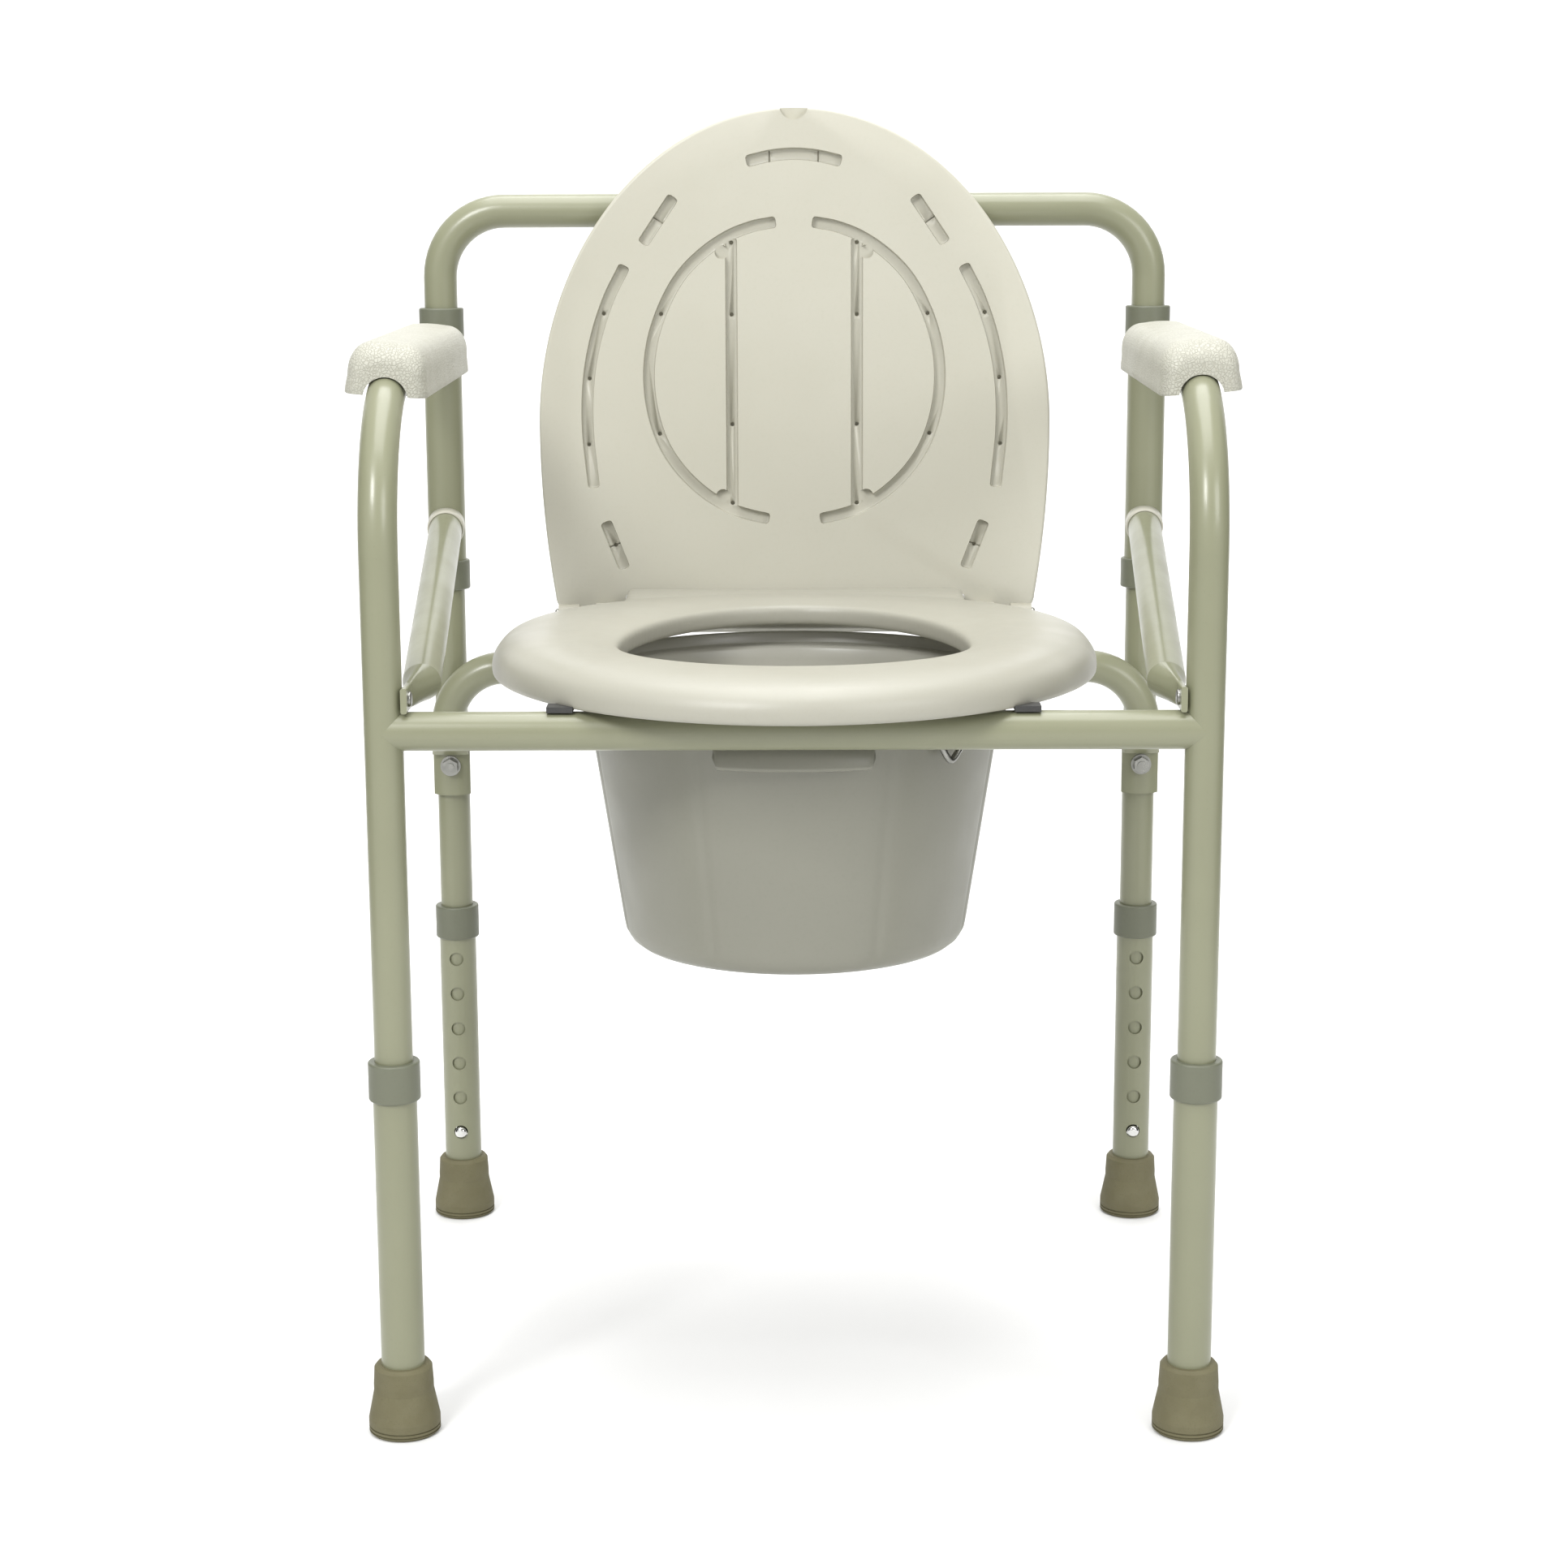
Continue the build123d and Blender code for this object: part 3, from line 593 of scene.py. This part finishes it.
def channel_cutter(points, width):
    path = curve_points([(x, y, 0) for x, y in points], CHANNEL_STEP)
    start_t = (path[1] - path[0]).normalized()
    end_t = (path[-1] - path[-2]).normalized()
    rings = []
    for level, inset in CHANNEL_WALL:
        half = width / 2 - inset
        left, right = [], []
        for k, p in enumerate(path):
            t = (path[min(k + 1, len(path) - 1)] - path[max(k - 1, 0)]).normalized()
            left.append(p + across(t) * half)
            right.append(p - across(t) * half)
        loop = left + channel_end(path[-1], end_t, half)
        loop += list(reversed(right)) + channel_end(path[0], -start_t, half)
        rings.append([(p.x, p.y, level) for p in loop])
    return loft("cutter", rings, "seat_plastic")


def joint_cutter(x, y, turn):
    a = math.radians(turn)
    along = Vector((math.cos(a), math.sin(a)))
    side = Vector((-along.y, along.x))
    box = []
    for s, t in ((-1, -1), (1, -1), (1, 1), (-1, 1)):
        q = Vector((x, y)) + along * (JOINT_HALF_LENGTH * s) + side * (JOINT_HALF_WIDTH * t)
        box.append((q.x, q.y))
    return prism_cutter(box, CHANNEL_DEPTH - 0.002, CHANNEL_DEPTH + 0.0015)


def lid_outline():
    """Anticlockwise from the right-hand hinge corner."""

    def side_x(y):
        return LID_HALF * math.sqrt(1 - ((LID_WIDEST_Y - y) / LID_SIDE_REACH) ** 2)

    right = arc(side_x(CORNER_Y) - CORNER_RADIUS, CORNER_Y, CORNER_RADIUS, -90, 0, 8)
    right += [(side_x(y), float(y)) for y in np.linspace(0.015, 0.122, 36)]
    top = []
    for k in range(181):
        a = math.pi * k / 180
        top.append((LID_HALF * math.cos(a), LID_WIDEST_Y + LID_TOP_REACH * math.sin(a)))
    return right + top + [(-x, y) for x, y in reversed(right)]


def lid_blank():
    """The lid's plate before anything is pressed into it."""
    loop = [Vector(p) for p in lid_outline()]
    count = len(loop)
    normals = []
    for k in range(count):
        t = (loop[(k + 1) % count] - loop[k - 1]).normalized()
        normals.append(Vector((t.y, -t.x)))
    front, back = FRONT_EDGE_RADIUS, BACK_EDGE_RADIUS
    levels = arc(front, front, front, 270, 180, 4) + arc(back, LID_THICK - back, back, 180, 90, 6)
    rings = []
    for inset, h in levels:
        rings.append([(p.x - m.x * inset, p.y - m.y * inset, h) for p, m in zip(loop, normals)])
    edge = rings[-1]
    middle = 0.16
    for shrink, rise in BACK_CROWN:
        rings.append([(x * shrink, middle + (y - middle) * shrink, LID_THICK + rise) for x, y, _ in edge])
    return loft("lid_panel", rings, "seat_plastic")


def lid():
    obj = lid_blank()
    cutters = [channel_cutter(TOP_CHANNEL, CHANNEL_WIDTH)]
    for width, points in SIDE_CHANNELS:
        for sign, _ in SIDES:
            cutters.append(channel_cutter([(sign * x, y) for x, y in points], width))
    combine(obj, cutters, "DIFFERENCE")

    cutters = []
    for sign, _ in SIDES:
        for x, y in ISLAND_CORNERS:
            cutters.append(disc_cutter(sign * x, y, ISLAND_CORNER_RADIUS, -0.002, CHANNEL_DEPTH, 24))
    notch_y, notch_radius, notch_depth = NOTCH
    cutters.append(disc_cutter(0.0, notch_y, notch_radius, -0.002, notch_depth, 48))
    cutters.append(prism_cutter(RECESS, -0.02, 0.04))
    combine(obj, cutters, "DIFFERENCE")
    finish_edges(obj, 0.0007, 3, 42)

    cutters = []
    for x, y in PIN_HOLES:
        for sign, _ in SIDES:
            cutters.append(disc_cutter(sign * x, y, PIN_RADIUS, CHANNEL_DEPTH - 0.002, CHANNEL_DEPTH + 0.004, 14))
    cutters += [joint_cutter(x, y, turn) for x, y, turn in JOINT_LINES]
    combine(obj, cutters, "DIFFERENCE")

    # swing the flat lid onto its open place; its three axes are left-handed, which turns the faces inside out
    back = Vector((0, math.sin(LEAN), math.cos(LEAN)))
    along = Vector((0, -math.cos(LEAN), math.sin(LEAN)))
    turn = Matrix((Vector((1, 0, 0)), along, back)).transposed()
    obj.data.transform(Matrix.Translation(PIVOT + back * FACE_BEHIND) @ turn.to_4x4())
    obj.data.flip_normals()
    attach(obj, "lid_body")
    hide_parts("lid")


def lid_lug(sign, side):
    rings = []
    for x, r in LUG_PLACES:
        section = [(PIVOT.y + a, PIVOT.z + b) for a, b in arc(0, 0, r, 100, 300, 24)]
        section += [(PIVOT.y + 0.0200, PIVOT.z - 0.0040), (PIVOT.y + 0.0205, PIVOT.z + 0.0058)]
        rings.append([(sign * x, y, z) for y, z in section])
    lug = loft(f"lid_lug_{side}", rings, "seat_plastic")
    finish_edges(lug, 0.0006, 2, 50)
    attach(lug, "lid_body")


# ---------------------------------------------------------------- arm pads
PAD_FRONT, PAD_REAR = -0.117, 0.153
PAD_LOW, PAD_HIGH = 0.6042, 0.6342
PAD_HALF = 0.0240
PAD_ROLL, PAD_ROLL_Z = math.radians(4), 0.610  # leans inwards a little, about this height
BEND_Y, BEND_Z, BEND_RADIUS = -0.080, 0.520, 0.090  # of the tube under the pad
ARCH_RADIUS = 0.0130
ARCH_PLACES = (-0.128, -0.122, -0.117, -0.112, -0.106, -0.100, -0.094, -0.088, -0.080, PAD_REAR + 0.01)
# Distances from each end where the rounded ends have their sections
PAD_END_STEPS = (0.0, 0.0003, 0.0010, 0.0021, 0.0036, 0.0055, 0.0078, 0.0105, 0.0135, 0.0170, 0.0210)
PAD_PLAN_ROUND, PAD_TOP_ROUND = 0.0115, 0.0190  # lengths of the rounding, from above and from the side
# Hollow underneath: height, distance from the outside
HOLLOW_LEVELS = ((PAD_LOW - 0.004, 0.0030), (0.6195, 0.0056), (0.6220, 0.0080))


def tube_height(y):
    """Middle of the tube under the arm pad: level, with a bend down into the front leg."""
    into_bend = max(0.0, BEND_Y - y)
    return BEND_Z + math.sqrt(BEND_RADIUS**2 - into_bend**2)


def pad_section(half, top):
    """Half of the domed section, from the bottom edge to the middle of the top."""
    waist = PAD_LOW + 0.010
    out = [(half - 0.0007, PAD_LOW), (half, PAD_LOW + 0.0008), (half - 0.0003, PAD_LOW + 0.0045)]
    corner = min(0.0150, half * 0.8)
    base = half - 0.0012 - corner
    for k in range(13):
        a = math.radians(90 * k / 12)
        out.append((base + corner * math.cos(a) ** 0.8, waist + (top - waist) * math.sin(a) ** 0.8))
    out += [(base * 0.5, top + 0.0003), (0.0, top + 0.0004)]
    return out


def arm_pad(sign, side):
    def centre(y):
        """The tubes stand a little wider apart at the back."""
        return sign * (0.2320 + 0.0065 * (y + 0.147) / 0.332)

    def rolled(x, y, z):
        c, s = math.cos(PAD_ROLL), math.sin(PAD_ROLL) * sign
        dz = z - PAD_ROLL_Z
        return (centre(y) + x * c - dz * s, y, PAD_ROLL_Z + x * s + dz * c)

    middle = np.linspace(PAD_FRONT + 0.030, PAD_REAR - 0.030, 22)
    ys = [PAD_FRONT + e for e in PAD_END_STEPS]
    ys += [float(y) for y in middle]
    ys += [PAD_REAR - e for e in reversed(PAD_END_STEPS)]
    rings = []
    for y in ys:
        end = min(y - PAD_FRONT, PAD_REAR - y)
        plan = max(0.0, 1 - end / PAD_PLAN_ROUND)
        rise = max(0.0, 1 - end / PAD_TOP_ROUND)
        half = PAD_HALF - 0.0100 * (1 - math.sqrt(1 - plan**2))
        top = PAD_HIGH - 0.0125 * (1 - math.sqrt(1 - rise**2))
        section = pad_section(half, top)
        right = [rolled(a, y, b) for a, b in section]
        left = [rolled(-a, y, b) for a, b in reversed(section[:-1])]
        rings.append(right + left)
    obj = loft(f"arm_pad_shell_{side}", rings, "pad_plastic")

    hollow_rings = []
    for z, inset in HOLLOW_LEVELS:
        ring = []
        for k in range(48):
            a = 2 * math.pi * k / 48
            c, s = math.cos(a), math.sin(a)
            px = math.copysign(abs(c) ** 0.25, c) * (PAD_HALF - inset)
            py = math.copysign(abs(s) ** 0.12, s) * ((PAD_REAR - PAD_FRONT) / 2 - inset)
            ring.append(rolled(px, (PAD_FRONT + PAD_REAR) / 2 + py, z))
        hollow_rings.append(ring)
    hollow = loft("hollow", hollow_rings, "pad_plastic")

    # the arch over the tube at each end
    half_arch = [(-ARCH_RADIUS, -0.02)] + arc(0, 0, ARCH_RADIUS, 180, 0, 28) + [(ARCH_RADIUS, -0.02)]
    arch_rings = []
    for y in ARCH_PLACES:
        arch_rings.append([(centre(y) + px, y, tube_height(y) + pz) for px, pz in half_arch])
    arch = loft("arch", arch_rings, "pad_plastic")
    combine(obj, [hollow, arch], "DIFFERENCE")
    finish_edges(obj, 0.0007, 3, 50)
    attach(obj, "frame")
    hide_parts(f"arm_pad_{side}")


# ---------------------------------------------------------------- side rail caps
# Section of the cap: distance along the rail, radius
CAP_SECTION = (
    (0.008, 0.0112), (0.008, 0.0126), (0.0192, 0.0126), (0.0201, 0.0123), (0.0206, 0.0117), (0.0206, 0.0112),
)


def circle_angles(count):
    return np.linspace(0, 2 * math.pi, count + 1)[:-1]


def rail_cap(sign, side):
    """A pale moulded ring where the side rail meets the rear upright."""
    rail_start = Vector((sign * 0.239, 0.210, 0.497))
    rail_end = Vector((sign * 0.21355, -0.136, 0.4425))
    along = (rail_end - rail_start).normalized()
    level = Vector((1, 0, 0)) - along * along.x
    level.normalize()
    up = along.cross(level)
    rings = []
    for reach, radius in CAP_SECTION:
        middle = rail_start + along * reach
        rings.append([middle + radius * (math.cos(a) * level + math.sin(a) * up) for a in circle_angles(48)])
    cap = loft(f"rail_cap_{side}", rings, "seat_plastic", closed=True)
    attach(cap, "frame")


# ---------------------------------------------------------------- bucket
BASE_Z, SKIRT_TOP_Z, LEDGE_Z, RIM_Z = 0.262, 0.4187, 0.4258, 0.4334
BASE_RADIUS, TOP_RADIUS = 0.105, 0.1275
BUCKET_WALL = 0.0024
BUCKET_STEPS = 288
# Faint vertical moulding lines, each mirrored: degrees from the front, depth, width in degrees
MOULD_LINES = ((27, 0.0006, 1.3), (77, 0.0016, 1.6), (103, 0.0016, 1.6), (153, 0.0006, 1.3))
GRIP_HALF_WIDTH, GRIP_LOW_Z, GRIP_STEPS = 0.0475, 0.3935, 44
# Section of an ear, turned about the bail's line: distance from the middle, radius
EAR_SECTION = (
    (0.1225, 0.0064), (0.1282, 0.0058), (0.1296, 0.0054), (0.1302, 0.0046), (0.1302, 0.0023), (0.1275, 0.0022),
)


def bucket_wall(inset, foot, steps, upwards):
    """Points of the tapering wall: radius, height, share of the moulding lines' depth."""
    out = []
    for k in range(steps + 1):
        f = k / steps if upwards else 1 - k / steps
        z = BASE_Z + foot + (SKIRT_TOP_Z - 0.006 - BASE_Z - foot) * f
        out.append((BASE_RADIUS + 0.0014 - inset + (TOP_RADIUS - BASE_RADIUS - 0.0014) * f, z, 1.0))
    return out


def bucket_section():
    """From the middle of the base, up the outside, over the rim and down the inside."""
    base, wall, rim = BASE_RADIUS, BUCKET_WALL, RIM_Z
    out = [(0.0, BASE_Z + 0.002, 0), (0.05, BASE_Z + 0.0018, 0), (0.088, BASE_Z + 0.0012, 0)]
    out += [(0.090, BASE_Z, 0), (base - 0.011, BASE_Z, 0), (base - 0.0060, BASE_Z + 0.0010, 0)]
    out += [(base - 0.0020, BASE_Z + 0.0042, 0.2), (base + 0.0006, BASE_Z + 0.0090, 0.7)]
    out += bucket_wall(0.0, 0.013, 24, True)
    out += [(TOP_RADIUS + 0.0004, SKIRT_TOP_Z, 0.4), (TOP_RADIUS + 0.0010, 0.4212, 0)]
    out += [(TOP_RADIUS + 0.0026, 0.4222, 0), (0.1370, 0.4224, 0), (0.1386, 0.4212, 0)]
    out += [(0.1386, SKIRT_TOP_Z + 0.0004, 0), (0.1390, SKIRT_TOP_Z, 0)]
    out += [(0.1406, SKIRT_TOP_Z, 0), (0.1410, SKIRT_TOP_Z + 0.0006, 0)]
    out += [(0.1410, rim - 0.0016, 0), (0.1408, rim - 0.0006, 0), (0.1402, rim, 0)]
    out += [(0.1396, rim, 0), (0.1390, rim - 0.0006, 0), (0.1388, rim - 0.0016, 0)]
    out += [(0.1387, LEDGE_Z + 0.0008, 0), (0.1380, LEDGE_Z + 0.0001, 0), (0.1370, LEDGE_Z, 0)]
    out += [(0.1290, LEDGE_Z, 0), (0.1266, LEDGE_Z - 0.0006, 0), (0.1256, LEDGE_Z - 0.0024, 0)]
    out += [(TOP_RADIUS - wall, SKIRT_TOP_Z - 0.002, 0.3)]
    out += bucket_wall(wall, 0.014, 12, False)
    out += [(base - 0.0022, BASE_Z + 0.0080, 0), (base - 0.0062, BASE_Z + 0.0044, 0)]
    out += [(base - 0.0110, BASE_Z + wall, 0), (0.05, BASE_Z + wall + 0.0018, 0)]
    out += [(0.0, BASE_Z + wall + 0.002, 0)]
    return out


def mould_line_depth(deg):
    total = 0.0
    for line, depth, width in MOULD_LINES:
        for s in (-1, 1):
            d = (deg - s * line + 180) % 360 - 180
            total -= depth * math.exp(-((d / width) ** 2))
    return total


def round_bucket(radius, angle, z):
    """A point at an angle from the front."""
    return radius * math.sin(angle), BUCKET_Y - radius * math.cos(angle), z


def bucket():
    section = bucket_section()
    rings = []
    for i in range(BUCKET_STEPS):
        deg = 360 * i / BUCKET_STEPS
        a = math.radians(deg)
        off = mould_line_depth(deg if deg <= 180 else deg - 360)
        rings.append([round_bucket(max(r, 1e-5) + off * w, a, z) for r, z, w in section])
    # the section is open at the axis, so its rings are joined round and the middle is welded
    mesh = loft_mesh("bucket_shell", rings, closed=True)
    bm = bmesh.new()
    bm.from_mesh(mesh)
    bmesh.ops.remove_doubles(bm, verts=bm.verts, dist=0.00003)
    bmesh.ops.recalc_face_normals(bm, faces=bm.faces)
    bm.to_mesh(mesh)
    bm.free()
    smooth(mesh)
    obj = new_object("bucket_shell", mesh, MATS["bucket_plastic"])
    # the faces inside the bucket take the lighter copy of its plastic: painted light
    mesh.materials.append(MATS["bucket_inside"])
    for face in mesh.polygons:
        out = Vector((face.center.x, face.center.y - BUCKET_Y, 0))
        on_wall = face.normal.dot(out) < -0.3 * out.length
        on_floor_or_ledge = face.normal.z > 0.5 and out.length < 0.139
        inside = (on_wall or on_floor_or_ledge) and face.center.z > BASE_Z + 0.002
        face.material_index = 1 if inside else 0
    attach(obj, "bucket_body")
    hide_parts("bucket")


def bucket_grip():
    """Lip under the front of the rim."""
    rings = []
    half = math.degrees(GRIP_HALF_WIDTH / 0.141)
    for i in range(GRIP_STEPS + 1):
        deg = -half + 2 * half * i / GRIP_STEPS
        low = GRIP_LOW_Z + 0.006 * max(0.0, (abs(deg) / half - 0.94) / 0.06) ** 2
        thinner = 0.0006 if i in (0, GRIP_STEPS) else 0.0
        section = (
            (0.1386 + thinner, 0.4196), (0.1386 + thinner, low + 0.0012), (0.1390, low + 0.0003),
            (0.1404, low - 0.0002), (0.1418, low + 0.0006), (0.1420 - thinner, low + 0.0022),
            (0.1412 - thinner, low + 0.0040), (0.1410 - thinner, 0.4196),
        )
        rings.append([round_bucket(r, math.radians(deg), z) for r, z in section])
    grip = loft("bucket_grip", rings, "bucket_plastic")
    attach(grip, "bucket_body")


def bucket_ear(sign, side):
    rings = []
    for x, r in EAR_SECTION:
        rings.append([(sign * x, BUCKET_Y + r * math.cos(a), EAR_Z + r * math.sin(a)) for a in circle_angles(32)])
    ear = loft(f"bucket_ear_{side}", rings, "bucket_plastic")
    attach(ear, "bucket_body")


# ---------------------------------------------------------------- bail
BAIL_RADIUS, BAIL_WIRE_RADIUS = 0.133, 0.002
BAIL_TIP = math.radians(6)  # tipped up at rest
BAIL_STEP = 0.0015
# Hook bend: degrees round from the right-hand ear, drop below the ring
BAIL_HOOK = ((38, 0.001), (42.5, 0.0105), (46.5, 0.0185), (50, 0.0095), (53.5, 0.001))


def bail():
    """Wire handle: half ring tipped up behind the crossbar, with a hook bend near its right end."""

    def on_ring(deg, drop=0.0):
        a = math.radians(deg)
        y = -BAIL_RADIUS * math.sin(a)
        z = EAR_Z - y * math.sin(BAIL_TIP) - drop
        return (BAIL_RADIUS * math.cos(a), BUCKET_Y + y * math.cos(BAIL_TIP), z)

    pts = [(0.1275, BUCKET_Y, EAR_Z), (0.1310, BUCKET_Y - 0.0002, EAR_Z)]
    pts += [on_ring(deg) for deg in (4, 10, 18, 26, 33)]
    pts += [on_ring(deg, drop) for deg, drop in BAIL_HOOK]
    pts += [on_ring(deg) for deg in range(58, 176, 6)]
    pts += [on_ring(176), (-0.1310, BUCKET_Y - 0.0002, EAR_Z), (-0.1275, BUCKET_Y, EAR_Z)]
    rings = tube_rings(curve_points(pts, BAIL_STEP), BAIL_WIRE_RADIUS, 14)
    obj = loft("bail_handle", rings, "zinc_steel")
    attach(obj, "bail_body")
    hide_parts("bail_wire")


seat()
lid()
for sign, side in SIDES:
    lid_lug(sign, side)
for sign, side in SIDES:
    arm_pad(sign, side)
for sign, side in SIDES:
    rail_cap(sign, side)
bucket()
bucket_grip()
for sign, side in SIDES:
    bucket_ear(sign, side)
bail()


# ---------------------------------------------------------------- stage, light, camera
CAMERA_PLACE = (0.0052, -1.7865, 0.7154)
CAMERA_YAW, CAMERA_TILT, CAMERA_ROLL = (math.radians(a) for a in (-0.384, 11.409, -0.22))
SENSOR_WIDTH = 36
FOCAL_LENGTH, IMAGE_WIDTH = 3591.5, 1932  # in the same unit
SWEEP_Y, SWEEP_RADIUS = 2.2, 1.6  # where the floor starts to curve up into the backdrop
STAGE_HALF, STAGE_FRONT_Y, STAGE_TOP_Z = 7, -6.0, 6.0
FLAG_Y, FLAG_Z = (-0.5, 0.9), (0.0, 1.3)
# Square area lights: name, place, target, size, power
LIGHTS = (
    ("key", (-1.3, -2.4, 2.3), (0, 0, 0.4), 0.9, 61),
    ("fill", (1.9, -2.2, 1.7), (0, 0, 0.4), 1.2, 26),
    ("top", (0, -0.3, 2.9), (0, 0, 0.3), 2.0, 56),
    ("backdrop", (0, 1.6, 3.6), (0, 3.8, 1.2), 2.4, 115),
)
WORLD_STRENGTH = 0.74


def camera():
    data = bpy.data.cameras.new("camera")
    obj = bpy.data.objects.new("camera", data)
    bpy.context.scene.collection.objects.link(obj)
    yaw, tilt, roll = CAMERA_YAW, CAMERA_TILT, CAMERA_ROLL
    look = Vector((math.sin(yaw) * math.cos(tilt), math.cos(yaw) * math.cos(tilt), -math.sin(tilt)))
    right = Vector((math.cos(yaw), -math.sin(yaw), 0))
    up = right.cross(look)
    right, up = right * math.cos(roll) + up * math.sin(roll), up * math.cos(roll) - right * math.sin(roll)
    turn = Matrix((right, up, -look)).transposed()
    obj.matrix_world = Matrix.Translation(CAMERA_PLACE) @ turn.to_4x4()
    data.sensor_width = SENSOR_WIDTH
    data.lens = SENSOR_WIDTH * FOCAL_LENGTH / IMAGE_WIDTH
    data.clip_start = 0.05
    data.clip_end = 50
    bpy.context.scene.camera = obj


def floor():
    """A pale floor that sweeps up into a backdrop."""
    profile = [(STAGE_FRONT_Y, 0.0), (SWEEP_Y, 0.0)]
    for n in range(13):
        a = math.radians(90 * n / 12)
        profile.append((SWEEP_Y + SWEEP_RADIUS * math.sin(a), SWEEP_RADIUS - SWEEP_RADIUS * math.cos(a)))
    profile.append((3.8, STAGE_TOP_Z))
    verts = []
    for y, z in profile:
        verts += [(-STAGE_HALF, y, z), (STAGE_HALF, y, z)]
    faces = [(2 * i, 2 * i + 1, 2 * i + 3, 2 * i + 2) for i in range(len(profile) - 1)]
    mesh = bpy.data.meshes.new("floor")
    mesh.from_pydata(verts, [], faces)
    smooth(mesh)
    s = Shade("floor_paper", (0.88, 0.88, 0.878), 0.75)
    s.tint(s.patches(3, 3, 0.4, 0.7), (0.87, 0.87, 0.867), 0.5)
    obj = new_object("floor", mesh, s.mat)


def area_light(name, place, target, size, power):
    data = bpy.data.lights.new(name, "AREA")
    data.shape = "SQUARE"
    data.size = size
    data.energy = power
    obj = bpy.data.objects.new(name, data)
    obj.location = place
    obj.rotation_euler = (Vector(target) - Vector(place)).to_track_quat("-Z", "Y").to_euler()
    bpy.context.scene.collection.objects.link(obj)


def world(strength):
    w = bpy.data.worlds.new("studio")
    w.use_nodes = True
    background = w.node_tree.nodes["Background"]
    background.inputs["Color"].default_value = (1, 1, 1, 1)
    background.inputs["Strength"].default_value = strength
    bpy.context.scene.world = w


def flag(name, x):
    """A black card beside the object, seen only in its gloss: it darkens the edges of the tubes."""
    (y0, y1), (z0, z1) = FLAG_Y, FLAG_Z
    mesh = bpy.data.meshes.new(name)
    mesh.from_pydata([(x, y0, z0), (x, y1, z0), (x, y1, z1), (x, y0, z1)], [], [(0, 1, 2, 3)])
    s = Shade("flag_cloth", (0.06, 0.06, 0.06), 0.95)
    s.tint(s.patches(400, 2, 0.4, 0.7), (0.04, 0.04, 0.04), 0.5)
    obj = new_object(name, mesh, s.mat)
    obj.visible_camera = False
    obj.visible_shadow = False
    obj.visible_diffuse = False


camera()
floor()
world(WORLD_STRENGTH)
for row in LIGHTS:
    area_light(*row)
flag("flag_left", -1.35)
flag("flag_right", 1.35)
bpy.context.scene.view_settings.view_transform = "Standard"
